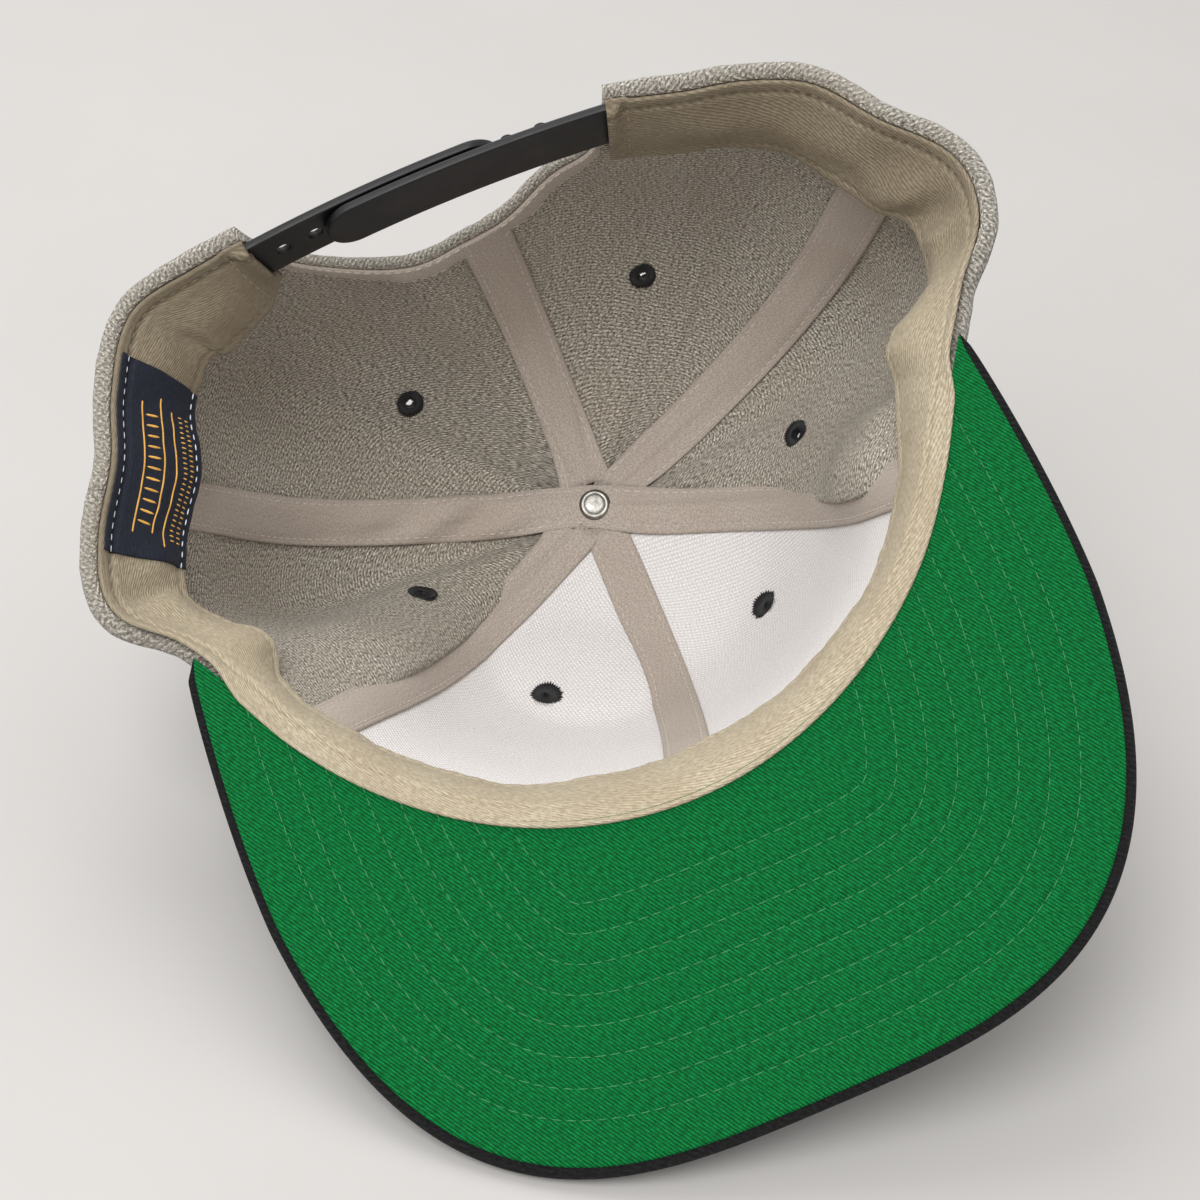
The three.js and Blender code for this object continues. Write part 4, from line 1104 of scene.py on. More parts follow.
def crossTape():
    ends = []
    for seam in ("leftRear", "rightFront"):
        at = seams[seam]
        along = np.linspace(rise(at, tape["start"]), nearTop(at, tape["crossEnd"]), tape["stations"] // 2)
        ends.append((np.full(along.shape, float(at)), along))
    face, back, facings, x = tapeAlong(ends, tape["crossOrder"])
    across = face[1][0, -1] - face[1][-1, -1]
    across[2] = 0
    across /= np.linalg.norm(across)
    middle = crown(0, 1)[None] + across[None] * (x * tape["half"])[:, None]
    section = tapeSection(x)
    bridge = lambda extra: middle - np.array([0, 0, 1.0]) * extra[:, None]
    overFace = bridge(tape["clearBuckram"] + tape["bridge"] + section)[:, None]
    overBack = bridge(np.full(x.shape, tape["clearBuckram"] + tape["bridgeBack"]))[:, None]
    join = lambda a, b, c: np.concatenate([a, b, c[::-1, ::-1]], 1)
    whole = [join(face[0], overFace, face[1]), join(back[0], overBack, back[1])]
    count = tape["crossStations"]
    whole = [evenRun(soften(evenRun(part, count), tape["crossSoft"]), count) for part in whole]
    normal = np.gradient(whole[0], axis=0)
    lengthwise = np.gradient(whole[0], axis=1)
    facing = np.cross(normal, lengthwise)
    facing /= np.linalg.norm(facing, axis=-1, keepdims=True)
    if facing[len(x) // 2, count // 2, 2] > 0:
        facing = -facing
    run = np.linspace(0, 1, count)[None]
    crests = (1 + np.sin(run * gather["waves"] + x[:, None] * gather["slant"])) / 2
    pucker = gather["push"] * np.exp(-(((run - gather["at"]) / gather["wide"]) ** 2)) * crests
    pucker = pucker * (1 - gather["edgeLoss"] * np.abs(x[:, None]) ** 3)
    finishTape("crossTape", "cross_tape", whole[0] + facing * pucker[..., None], whole[1], facing, x)


def evenRun(grid, count):
    middle = grid[len(grid) // 2]
    run = np.concatenate([[0], np.cumsum(np.linalg.norm(np.diff(middle, axis=0), axis=-1))])
    want = np.linspace(0, run[-1], count)
    return np.stack([np.stack([np.interp(want, run, row[:, k]) for k in range(3)], -1) for row in grid])


def soften(grid, reach):
    # Moving average along the run, with the ends left in place
    kernel = np.hanning(2 * reach + 3)[1:-1]
    kernel /= kernel.sum()
    padded = np.concatenate([
        2 * grid[:, :1] - grid[:, reach:0:-1], grid, 2 * grid[:, -1:] - grid[:, -2:-reach - 2:-1]], 1)
    return np.stack([
        np.stack([np.convolve(row[:, k], kernel, "valid") for k in range(3)], -1) for row in padded])


crossTape()


def archTape():
    share = np.linspace(archBinding["from"], archBinding["to"], archBinding["stations"])
    deg = arch["from"] + (arch["to"] - arch["from"]) * (1 - np.cos(np.pi * share)) / 2
    low, x = panelStart(deg), np.linspace(-1, 1, archBinding["across"])
    along = low[None] + rise(deg, 1)[None] * (archBinding["low"] + archBinding["half"] * (1 + x[:, None]))
    turn = np.broadcast_to(deg[None], along.shape)
    base = archBinding["clear"] + clothRipple(turn, along) * smooth((along - low) / archBinding["fade"])
    face = layer(turn, along, base + archBinding["thick"] + archBinding["dome"] * (1 - x[:, None] ** 4))
    back = layer(turn, along, base * 0.5)
    facing = crownFacing(turn, along)
    finishTape("archTape", "back_arch_tape", face, back, facing, x)


archTape()
stitchPiece("tapeStitches", tapeLines, "tapeThread", spacing=2.6, length=2.0, radius=0.19, slot="taupe_tape")
print("tapes made")


# Sweatband and label

band = {
    "from": arch["to"] - 360, "to": arch["from"], "thick": 1.1, "footOff": 1.4, "pocketDepth": 3.9,
    "pocketReach": 2.6, "pocketTall": 16, "belly": 0.9, "turnOut": 2.3, "low": 0.55, "lowOverVisor": -0.45,
    "columns": 460, "rows": 46, "pocketFade": 6, "closeFrom": -0.25, "closeOver": 0.9, "closeEnd": 4.5,
    "turnOutFrom": -0.4, "turnOutOver": 4.2, "footRow": 4.2, "footGroove": 0.95, "footGrooveHalf": 0.75,
    "edgeRow": 3.2, "edgeGroove": 0.35, "edgeGrooveHalf": 0.7, "freeFrom": 4, "freeOver": 14, "ripple": 0.4,
    "topGap": 0.55, "threadLift": 0.05, "tall": 30, "closeEndOver": 2, "visorInset": 2, "visorFade": 8,
    # Free edge: direction, height up from the rim, and how far its face stands inside the wool
    "edge": [
        (-148, 26, 2.2), (-146.5, 28.5, 3.5), (-144.5, 30, 6.5), (-136, 30, 11.8), (-124.5, 30, 9.5),
        (-121, 30, 7.2), (-110, 30, 8.5), (-94, 30, 7.8), (-87, 30, 4.6), (-83.5, 30, 3.4), (-80, 30, 5.6),
        (-77.5, 30, 5.2), (-75, 28, 3), (-72.5, 22, 2.4), (-66, 18, 2.4), (-56, 23, 2.6), (-40, 24, 2.8),
        (-28, 24.5, 3), (-15, 26.5, 4.4), (1, 27, 5.2), (19, 26.5, 4.1), (39, 24, 2.8), (54, 24, 2.6),
        (61, 24.5, 2.7), (69, 28, 3.2), (76, 30, 4.4), (80, 30, 8.6), (83.6, 30, 8.4), (88.4, 29, 2.6),
        (92, 30, 4.9), (105.6, 30, 8.8), (113, 30, 6.6), (127, 30, 4.5), (142, 30, 2.8), (149, 30, 2.8),
    ],
    # Soft puckers: direction, height up the band, half spreads, push inwards
    "folds": [
        (98, 17, 2.4, 8, -2.2), (94, 21, 2.2, 7, 1.9), (103, 19, 2.4, 9, 1.6), (109, 14, 3, 7, -1.3),
        (120, 18, 6, 8, 1.2), (-92, 14, 2.4, 8, -1.5), (-88, 18, 2.4, 7, 1.5), (-84, 12, 2.6, 7, -1.3),
        (-97, 19, 3, 6, 1.0), (-138, 13, 4, 7, 1.2), (-131, 19, 3, 6, -1.2), (-127, 11, 3, 6, 0.8),
        (88, 20, 2.2, 9, 1.2), (91, 12, 2.2, 7, -1.3), (101, 25, 3, 4, -1.0), (107, 20, 2.2, 8, 1.3),
        (112, 23, 2.5, 5, -1.1), (133, 18, 5, 6, 0.9), (-50, 13, 8, 5, 0.6), (30, 13, 9, 5, 0.6),
    ],
}
edgeDegrees = np.arange(band["from"] - 6, band["to"] + 6.01, 0.25)
edgeTable = np.array(band["edge"], float)
edgeKernel = np.hanning(11) / np.hanning(11).sum()


def edgeValues(column):
    values = np.interp(edgeDegrees, edgeTable[:, 0], edgeTable[:, column])
    return np.convolve(np.pad(values, 5, mode="edge"), edgeKernel, "valid")


edgeTall, edgeDepth = edgeValues(1), edgeValues(2)


def bandTop(deg):
    return np.interp(deg, edgeDegrees, edgeTall)


def overVisor(deg):
    return smooth((visor["corner"] - band["visorInset"] - np.abs(wrap(deg))) / band["visorFade"])


def bandDepth(deg, tall):
    # Depth of the band's back face: out from its foot to its free edge, with a soft belly between
    share = np.clip(tall / bandTop(deg), -0.1, 1.1)
    freeDepth = np.interp(deg, edgeDegrees, edgeDepth) - band["thick"]
    wall = band["footOff"] + (freeDepth - band["footOff"]) * smooth(share)
    wall = wall + band["belly"] * np.sin(np.pi * np.clip(share, 0, 1)) ** 2
    fromOpening = np.minimum(deg - band["from"], band["to"] - deg)
    pocket = smooth((band["pocketReach"] - fromOpening) / (band["pocketReach"] / 2))
    pocket = pocket * smooth((band["pocketTall"] + band["pocketFade"] - tall) / band["pocketFade"])
    pocket = pocket * smooth((tall - band["closeFrom"]) / band["closeOver"])
    wall = wall + np.maximum(band["pocketDepth"] - wall, 0) * pocket
    # In front its foot is turned out over the visor's inner edge, and both stitch rows pull it in
    turned = 1 - smooth((tall - band["turnOutFrom"]) / band["turnOutOver"])
    wall = wall - band["turnOut"] * overVisor(deg) * turned
    footDip = np.exp(-(((tall - band["footRow"]) / band["footGrooveHalf"]) ** 2))
    edgeDip = np.exp(-(((tall - bandTop(deg) + band["edgeRow"]) / band["edgeGrooveHalf"]) ** 2))
    wall = wall - band["footGroove"] * footDip - band["edgeGroove"] * edgeDip
    uneven = ripple(deg * 1.4, tall / band["tall"], band["ripple"], 2.0)
    uneven = uneven * smooth((tall - band["freeFrom"]) / band["freeOver"])
    return wall + waves(band["folds"], deg, tall) + uneven


def onBand(deg, tall, extra):
    deg, tall = np.broadcast_arrays(np.asarray(deg, float), np.asarray(tall, float))
    way = crown(deg, 0.01) - crown(deg, 0.0)
    below = way / np.linalg.norm(way, axis=-1, keepdims=True) * np.minimum(tall, 0)[..., None]
    return layer(deg, rise(deg, np.maximum(tall, 0)), bandDepth(deg, tall) + extra) + below


def bandFacing(deg, tall):
    across = onBand(deg + 0.5, tall, 0) - onBand(deg - 0.5, tall, 0)
    upward = onBand(deg, tall + 0.5, 0) - onBand(deg, tall - 0.5, 0)
    facing = np.cross(across, upward)
    return facing / np.linalg.norm(facing, axis=-1, keepdims=True)


def bandStrip(first, last, columns, low, below, rows, inner, thick, slant=0.0):
    # Closed strip on the band with rounded long edges, from a height to a distance below its free edge
    deg = np.linspace(first, last, columns + 1)[None]
    high, low = bandTop(deg) - below, low(deg) if callable(low) else low
    tall = low + (high - low) * np.linspace(0, 1, rows + 1)[:, None]
    deg = deg + slant * tall / band["tall"]
    face, back = onBand(deg, tall, inner + thick), onBand(deg, tall, inner)
    deg = deg[:1]
    half, edge = thick / 2, []
    for k in (1, 2, 3):
        turn = math.pi * k / 4
        edge.append((turn, half * math.sin(turn)))
    topEdge = [
        onBand(deg + slant * high / band["tall"], high + out, inner + half + half * math.cos(turn))[0]
        for turn, out in edge
    ]
    lowEdge = [onBand(deg, low - out, inner + half - half * math.cos(turn))[0] for turn, out in edge]
    return np.concatenate([face, topEdge, back[::-1], lowEdge])


def bandLow(deg):
    # Lower over the visor's edge, and at both ends, where it closes over the sewn strap
    fromOpening = np.minimum(deg - band["from"], band["to"] - deg)
    closed = np.maximum(overVisor(deg), smooth((band["closeEnd"] - fromOpening) / band["closeEndOver"]))
    return band["low"] + (band["lowOverVisor"] - band["low"]) * closed


points, faces, uv = tube(bandStrip(
    band["from"], band["to"], band["columns"], bandLow, band["topGap"], band["rows"], 0, band["thick"]))
makePiece("sweatbandCloth", points, faces, uv, ("bandTwill",), None, "cream_twill", ["sweatband"])


def bandLine(first, last, tall, count, lift, slant=0.0):
    # A line along the band: tall counts up from the rim, or down from the free edge where it is below 0
    deg = np.linspace(first, last, count)
    tall = tall + np.where(tall < 0, bandTop(deg), 0)
    deg = deg + slant * tall / band["tall"]
    return onBand(deg, tall, lift), bandFacing(deg, tall)


def bandRise(at, low, high, count, lift):
    tall = np.linspace(low, high, count)
    return onBand(np.full(count, float(at)), tall, lift), bandFacing(np.full(count, float(at)), tall)


bandLift = band["thick"] + band["threadLift"]
footRow, edgeRow = band["footRow"], -band["edgeRow"]
stitchPiece(
    "bandStitches",
    [
        bandLine(band["from"] + 1, -76, footRow, 200, bandLift),
        bandLine(76, band["to"] - 1, footRow, 200, bandLift),
    ],
    "bandThread", spacing=2.7, length=2.0, radius=0.18, slot="cream_twill",
)
stitchPiece("bandEdgeStitches", [
    bandLine(band["from"] + 1, band["to"] - 1, edgeRow, 500, bandLift - 0.08),
], "bandDarkThread", spacing=2.5, length=1.7, radius=0.16, slot="cream_twill")
# The front foot row is laid thick in dark thread: partly the thread's own tone, partly painted shade for the
# stitch holes and the groove they sink into
stitchPiece("bandFootStitches", [
    bandLine(-75, 75, footRow, 400, bandLift - 0.05),
], "bandDarkThread", spacing=2.4, length=2.0, radius=0.3, slot="cream_twill")
stitchPiece("bandEndStitches", [
    bandRise(band["from"] + 3, 2, 25, 60, bandLift), bandRise(band["to"] - 3.5, 2, 28, 60, bandLift),
], "bandDarkThread", spacing=2.4, length=1.8, radius=0.2, slot="cream_twill")

label = {
    "from": -126, "to": -99.5, "low": 1.2, "below": 0.3, "thick": 0.45, "lift": 0.12, "stitchInset": 2.2,
    "slant": 4, "columns": 90, "rows": 34, "threadLift": 0.05, "margin": 0.015, "goldSink": 0.03,
}
labelBase = band["thick"] + label["lift"]
points, faces, uv = tube(
    bandStrip(
        label["from"], label["to"], label["columns"], label["low"], label["below"], label["rows"], labelBase,
        label["thick"], label["slant"],
    )
)
makePiece("wovenLabel", points, faces, uv, ("labelSatin",), None, "navy_label", ["woven_label"])
labelTop = labelBase + label["thick"] + label["threadLift"]
goldLift = -label["goldSink"]


def labelLine(first, last, tall, lift=0.0):
    spanOf = lambda share: label["from"] + (label["to"] - label["from"]) * share
    return bandLine(spanOf(first), spanOf(last), tall, label["columns"], labelTop + lift, label["slant"])


edgeHeights = (label["low"] + label["stitchInset"], -label["below"] - label["stitchInset"])
stitchPiece("labelStitches", [
    labelLine(label["margin"], 1 - label["margin"], tall) for tall in edgeHeights
], "labelThread", spacing=2.5, length=1.6, radius=0.16, slot="navy_label")

# Plain gold rules and rows of even marks: height, first and last share of the label, size, width, spacing
labelRules = [(9.4, 0.2, 0.86), (15.4, 0.14, 0.84), (19.2, 0.2, 0.9)]
labelMarks = [
    (12.4, 0.26, 0.8, 3.6, 0.3, 2.4), (22.4, 0.2, 0.86, 1.3, 0.2, 1.2), (25.0, 0.2, 0.86, 1.3, 0.2, 1.2),
]
stitchPiece("labelRules", [labelLine(first, last, tall, goldLift) for tall, first, last in labelRules],
            "goldThread", spacing=0.55, length=1.1, radius=0.22, slot="navy_label", flat=0.5)
for count, (tall, first, last, size, thick, gap) in enumerate(labelMarks):
    stitchPiece(
        f"labelMarks{count + 1}", [labelLine(first, last, tall, goldLift)], "goldThread", spacing=gap,
        length=size, radius=thick, slot="navy_label", slant=math.pi / 2, flat=0.4,
    )
print("band made")


# Visor

brim = {
    "columns": 300, "rows": 96, "rowCount": 8, "firstRow": 11, "rowPitch": 6, "groove": 0.32,
    "grooveHalf": 0.6, "underLap": 0.2, "edgeSteps": 8, "crowding": 0.55, "cornerShare": 0.0015, "roll": 0.9,
    "threadSink": 0.1, "bandClear": 1.2, "rimClear": 4, "lineOff": 0.35,
}


def visorRim(share, lap):
    deg = visor["corner"] * (2 * np.asarray(share, float) - 1)
    p = rimPoint(deg)[..., :2]
    return p * (1 - lap / np.linalg.norm(p, axis=-1, keepdims=True))


even = np.linspace(0, 1, brim["columns"] + 1)
crowded = (1 - np.cos(np.pi * even)) / 2
visorShares = np.clip(
    crowded * brim["crowding"] + even * (1 - brim["crowding"]), brim["cornerShare"], 1 - brim["cornerShare"])
outline = visorEdge(np.linspace(0, 1, 1201))


def edgeDistance(flat):
    shape = flat.shape[:-1]
    points = flat.reshape(-1, 2)
    nearest = np.concatenate([
        np.sqrt(((chunk[:, None] - outline[None, ::2]) ** 2).sum(-1).min(1))
        for chunk in np.array_split(points, 60)
    ])
    return nearest.reshape(shape)


def stitchGrooves(flat):
    distance = edgeDistance(flat)
    total = np.zeros(distance.shape)
    for k in range(brim["rowCount"]):
        total += np.exp(-(((distance - brim["firstRow"] - k * brim["rowPitch"]) / brim["grooveHalf"]) ** 2))
    return brim["groove"] * np.minimum(total, 1)


def plateRings(inset, lap, low, high, sinkLow, sinkHigh):
    # The section runs from the rim out over the high face, round the edge, and back on the low face
    edge, inner = visorEdge(visorShares, inset), visorRim(visorShares, lap)
    v = np.linspace(1, 0, brim["rows"] + 1)[:, None, None]
    half = (high - low) / 2
    towards = edge - inner
    towards = towards / np.maximum(np.linalg.norm(towards, axis=-1, keepdims=True), 1e-6)
    flat = (edge - towards * half)[None] * (1 - v) + inner[None] * v
    top = onPlate(flat, high - (stitchGrooves(flat) if sinkHigh else 0))
    bottom = onPlate(flat, low + (stitchGrooves(flat) if sinkLow else 0))
    bend = []
    for k in range(1, brim["edgeSteps"]):
        turn = math.pi * k / brim["edgeSteps"]
        bend.append(
            onPlate(edge - towards * half * (1 - math.sin(turn)), (low + high) / 2 + half * math.cos(turn))
        )
    return np.concatenate([top, bend, bottom[::-1]])


# The wool's edge rolls a little below the green face, as where it is turned over the board
points, faces, uv = tube(
    plateRings(0, 0, visor["under"] + wool["gap"] - brim["roll"], visorThick, False, True)
)
makePiece("visorTop", points, faces, planUv(points, faces), ("coverWool",), None, "black_wool", ["visor_top"])
points, faces, uv = tube(plateRings(visor["lip"], brim["underLap"], 0, visor["under"], True, False))
makePiece(
    "undervisorCloth", points, faces, planUv(points, faces), ("underTwill",), None, "green_twill",
    ["undervisor"],
)

underLines, coverLines = [], []
plateUp = onPlate(np.array([0.0, 0.0]), 1.0) - onPlate(np.array([0.0, 0.0]), 0.0)
edgeWay = np.gradient(outline, axis=0)
edgeOut = np.stack([edgeWay[:, 1], -edgeWay[:, 0]], -1)
edgeOut /= np.maximum(np.linalg.norm(edgeOut, axis=-1, keepdims=True), 1e-9)
if edgeOut[len(outline) // 2, 1] < 0:
    edgeOut = -edgeOut
for k in range(brim["rowCount"]):
    inset = brim["firstRow"] + k * brim["rowPitch"]
    flat = outline - edgeOut * inset
    reach = np.linalg.norm(flat, axis=-1)
    deg = np.degrees(np.arctan2(flat[:, 0], flat[:, 1]))
    onLine = np.abs(edgeDistance(flat) - inset) < brim["lineOff"]
    clearOfBand = reach > rimReach(deg) + brim["bandClear"]
    flat = flat[onLine & clearOfBand & (flat[:, 1] > rimPoint(visor["corner"])[1] - brim["rimClear"])]
    if len(flat) > 4:
        underLines.append((onPlate(flat, brim["groove"] - brim["threadSink"]), -plateUp))
        coverLines.append((onPlate(flat, visorThick - brim["groove"] + brim["threadSink"]), plateUp))
stitchPiece(
    "undervisorStitches", underLines, "greenThread", spacing=2.9, length=2.6, radius=0.15, slot="green_twill",
)
stitchPiece(
    "visorTopStitches", coverLines, "blackThread", spacing=2.9, length=2.2, radius=0.24, slot="black_wool",
)
print("visor made")


# Snap closure

snap = {
    "wide": 14, "thick": 2, "tuck": 0.9, "lean": 7.3, "lift": 0.5, "inset": 1.3, "pitch": 8, "holes": 7,
    "pegs": 7, "firstHole": 7.5, "fastenedAt": 2, "holeTip": 5.5, "pegTip": 5.5, "pegRadius": 1.3,
    "holeRadius": 1.65, "headRadius": 1.55, "headTall": 1, "proud": 0.6, "tipRadius": 7, "bevel": 0.35,
    "bow": 2.2, "cuts": 60, "headUnder": 0.15, "headEdge": 0.3, "headFlat": 0.8,
}
leftEnd, rightEnd = Vector(crown(float(arch["to"]), 0.0)), Vector(crown(float(arch["from"]), 0.0))
strapSpan = (rightEnd - leftEnd).length
strapAlong = (rightEnd - leftEnd).normalized()
strapInward = Vector((0, 0, 1)).cross(strapAlong).normalized()
strapSplay = math.asin((snap["thick"] + 2 * wool["gap"]) / strapSpan)


def roundedPlate(name, loops):
    # A flat moulded plate with softened edges, from its outline and the outlines of its holes
    curve = bpy.data.curves.new(name, "CURVE")
    curve.dimensions, curve.fill_mode = "2D", "BOTH"
    curve.extrude, curve.offset = snap["thick"] / 2 - snap["bevel"], -snap["bevel"]
    curve.bevel_depth, curve.bevel_resolution = snap["bevel"], 2
    for loop in loops:
        spline = curve.splines.new("POLY")
        spline.points.add(len(loop) - 1)
        for point, (x, y) in zip(spline.points, loop):
            point.co = (x, y, 0, 1)
        spline.use_cyclic_u = True
    holder = bpy.data.objects.new(name, curve)
    bpy.context.scene.collection.objects.link(holder)
    mesh = bpy.data.meshes.new_from_object(holder.evaluated_get(bpy.context.evaluated_depsgraph_get()))
    bpy.data.objects.remove(holder)
    bpy.data.curves.remove(curve)
    return mesh


def arc(x, y, radius, start, end, steps):
    return [
        (
            x + radius * math.cos(start + (end - start) * k / steps),
            y + radius * math.sin(start + (end - start) * k / steps),
        )
        for k in range(steps + 1)
    ]


def circle(x, radius, steps=28):
    return arc(x, snap["wide"] / 2, radius, 0, -2 * math.pi * (steps - 1) / steps, steps - 1)


def strapOutline(length):
    half = snap["wide"] / 2
    middle = length - snap["tipRadius"]
    return [(0, 0), *arc(middle, half, snap["tipRadius"], -math.pi / 2, math.pi / 2, 24), (0, snap["wide"])]


def layStrap(name, node, mesh, extras, end, along, faceDepth):
    up = Matrix.Rotation(math.radians(-snap["lean"]), 3, strapAlong) @ Vector((0, 0, 1))
    heading = Matrix.Rotation(-strapSplay, 3, up) @ along
    up = (up - heading * up.dot(heading)).normalized()
    across = up.cross(heading)
    origin = end + strapInward * faceDepth - heading * snap["tuck"] + up * snap["lift"]
    basis = Matrix((heading, across, up)).transposed()
    work = bmesh.new()
    work.from_mesh(mesh)
    for extra in extras:
        work.from_mesh(extra)
    bmesh.ops.remove_doubles(work, verts=work.verts, dist=0.001)
    longest = max(v.co.x for v in work.verts)
    for k in range(1, snap["cuts"]):
        geometry = work.verts[:] + work.edges[:] + work.faces[:]
        bmesh.ops.bisect_plane(
            work, geom=geometry, plane_co=(longest * k / snap["cuts"], 0, 0), plane_no=(1, 0, 0), dist=1e-5,
        )
    for v in work.verts:
        p = origin + basis @ v.co
        t = min(max((p - leftEnd).dot(strapAlong) / strapSpan, 0), 1)
        v.co = p - strapInward * snap["bow"] * 4 * t * (1 - t)
    bmesh.ops.triangulate(work, faces=[f for f in work.faces if len(f.verts) > 4])
    points = np.array([v.co[:] for v in work.verts])
    work.verts.index_update()
    faces = [[v.index for v in f.verts] for f in work.faces]
    work.free()
    piece = makePiece(name, points, faces, None, ("plastic",), None, "black_plastic", [node])
    smoothByAngle(piece, 35)
    return piece


def smoothByAngle(piece, degrees):
    mesh = piece.data
    work = bmesh.new()
    work.from_mesh(mesh)
    for edge in work.edges:
        edge.smooth = len(edge.link_faces) == 2 and edge.calc_face_angle(0) < math.radians(degrees)
    work.to_mesh(mesh)
    work.free()


def standPlate(mesh):
    # From its flat plan: length along X, width up Z, and its Y face at 0
    mesh.transform(Matrix.Translation((0, -snap["thick"] / 2, 0)) @ Matrix.Rotation(math.pi / 2, 4, "X"))
    return mesh


facets = {"peg": 20, "eyelet": 28, "plug": 16, "rivet": 48, "button": 64}


def lathe(profile, steps, name="turned"):
    # Closed solid of revolution about Z from radius and height pairs
    points = [
        (r * math.cos(2 * math.pi * k / steps), r * math.sin(2 * math.pi * k / steps), z) for r, z in profile
        for k in range(steps)
    ]
    faces = [
        [i * steps + k, i * steps + (k + 1) % steps, (i + 1) * steps + (k + 1) % steps, (i + 1) * steps + k]
        for i in range(len(profile) - 1) for k in range(steps)
    ]
    mesh = bpy.data.meshes.new(name)
    mesh.from_pydata(points, [], faces)
    work = bmesh.new()
    work.from_mesh(mesh)
    bmesh.ops.remove_doubles(work, verts=work.verts, dist=1e-5)
    bmesh.ops.dissolve_degenerate(work, edges=work.edges, dist=1e-6)
    bmesh.ops.recalc_face_normals(work, faces=work.faces)
    work.to_mesh(mesh)
    work.free()
    return mesh


holeXs = [snap["tuck"] + snap["firstHole"] + k * snap["pitch"] for k in range(snap["holes"])]
holeLoops = [strapOutline(holeXs[-1] + snap["holeTip"]), *[circle(x, snap["holeRadius"]) for x in holeXs]]
holeStrap = standPlate(roundedPlate("holes", holeLoops))
layStrap(
    "snapStrapHoles", "snap_strap_holes", holeStrap, [], leftEnd, strapAlong, snap["inset"] + snap["thick"],
)

pegStart = snap["tuck"] + strapSpan - snap["firstHole"] - snap["fastenedAt"] * snap["pitch"]
pegReach = wool["gap"] + snap["thick"] + snap["proud"]
r, h, headTop = snap["pegRadius"], snap["headRadius"], pegReach + snap["headTall"]
pegProfile = [
    (0, -1), (r, -1), (r, pegReach), (h, pegReach + snap["headUnder"]), (h, headTop - snap["headEdge"]),
    (h * snap["headFlat"], headTop), (0, headTop),
]
pegMeshes = []
for k in range(snap["pegs"]):
    x = pegStart - k * snap["pitch"]
    peg = lathe(pegProfile, facets["peg"])
    peg.transform(Matrix.Translation((x, 0, snap["wide"] / 2)) @ Matrix.Rotation(-math.pi / 2, 4, "X"))
    pegMeshes.append(peg)
pegStrap = standPlate(roundedPlate("pegs", [strapOutline(pegStart + snap["pegTip"])]))
layStrap("snapStrapPegs", "snap_strap_pegs", pegStrap, pegMeshes, rightEnd, -strapAlong, snap["inset"])
print("closure made")


# Eyelets, button and rivet

eyelet = {
    "radius": 3.5, "threads": 34, "proud": 0.7, "sink": 1.7, "thread": 0.34, "innerShare": 0.75,
    "coreSink": 0.4,
    # An eyelet with a bore under this is drawn shut, and its stitches spread wider
    "shut": 1, "shutSpread": 0.6, "spread": 0.35, "plug": 0.3, "faceSink": 0.35, "backSink": 0.1,
    "faceBulge": 0.6, "backBulge": 0.5,
    # How far some eyelets, pulled by their thread, turn towards the opening
    "leans": {"front_right_eyelet": 0.8, "front_left_eyelet": 0.6, "side_right_eyelet": 0.4},
}


def spokesTree():
    # Satin stitches laid like spokes round a ring
    tree, given, out = geometryTree("satinRing", [
        ("Threads", "NodeSocketInt", 34), ("Inner", number, 1.5), ("Outer", number, 3.5),
        ("Radius", number, 0.3), ("Bulge", number, 0.6), ("Seed", "NodeSocketInt", 1),
        ("Thread", "NodeSocketMaterial", None),
    ])
    middle = calc(tree, "MULTIPLY", calc(tree, "ADD", given["Inner"], given["Outer"]), 0.5)
    ring = addNode(tree, "GeometryNodeMeshCircle", {"Vertices": given["Threads"], "Radius": middle})
    ball = addNode(tree, "GeometryNodeMeshUVSphere", {"Segments": 8, "Rings": 7, "Radius": 1.0})
    where = addNode(tree, "GeometryNodeInputPosition")
    aim = addNode(
        tree, "FunctionNodeAlignRotationToVector", {"Vector": where.outputs[0]}, axis="X", pivot_axis="Z",
    )
    jitter = addNode(tree, "FunctionNodeRandomValue", {"Seed": given["Seed"]}, data_type="FLOAT")
    jitter.inputs[2].default_value, jitter.inputs[3].default_value = 0.86, 1.16
    half = calc(
        tree, "MULTIPLY", calc(tree, "MULTIPLY", calc(tree, "SUBTRACT", given["Outer"], given["Inner"]), 0.5),
        jitter.outputs[1],
    )
    size = addNode(tree, "ShaderNodeCombineXYZ", {0: half, 1: given["Radius"], 2: given["Bulge"]})
    layThreads(tree, given, out, ring, ball, aim, size)
    return tree


spokes = spokesTree()


def joinMeshes(name, meshes):
    work = bmesh.new()
    for mesh in meshes:
        work.from_mesh(mesh)
    made = bpy.data.meshes.new(name)
    work.to_mesh(made)
    work.free()
    return made


def finishTurned(name, mesh, look, slot, nodes, matrix):
    mesh.transform(matrix)
    mesh.materials.clear()
    mesh.materials.append(materials[look])
    mesh.polygons.foreach_set("use_smooth", np.ones(len(mesh.polygons), bool))
    mesh.polygons.foreach_set("material_index", np.zeros(len(mesh.polygons), np.int32))
    piece = bpy.data.objects.new(name, mesh)
    bpy.context.scene.collection.objects.link(piece)
    pieces[name] = {"slot": slot, "nodes": nodes}
    return piece


def capMatrix(point, facing):
    # Stands a piece's Z along a direction of the cap, at a point of it, and turns millimetres to metres
    middle, towards = place(point), Vector(capTurn @ np.asarray(facing))
    turned = towards.to_track_quat("Z", "Y").to_matrix().to_4x4()
    return Matrix.Translation(Vector(middle)) @ turned @ Matrix.Scale(0.001, 4)


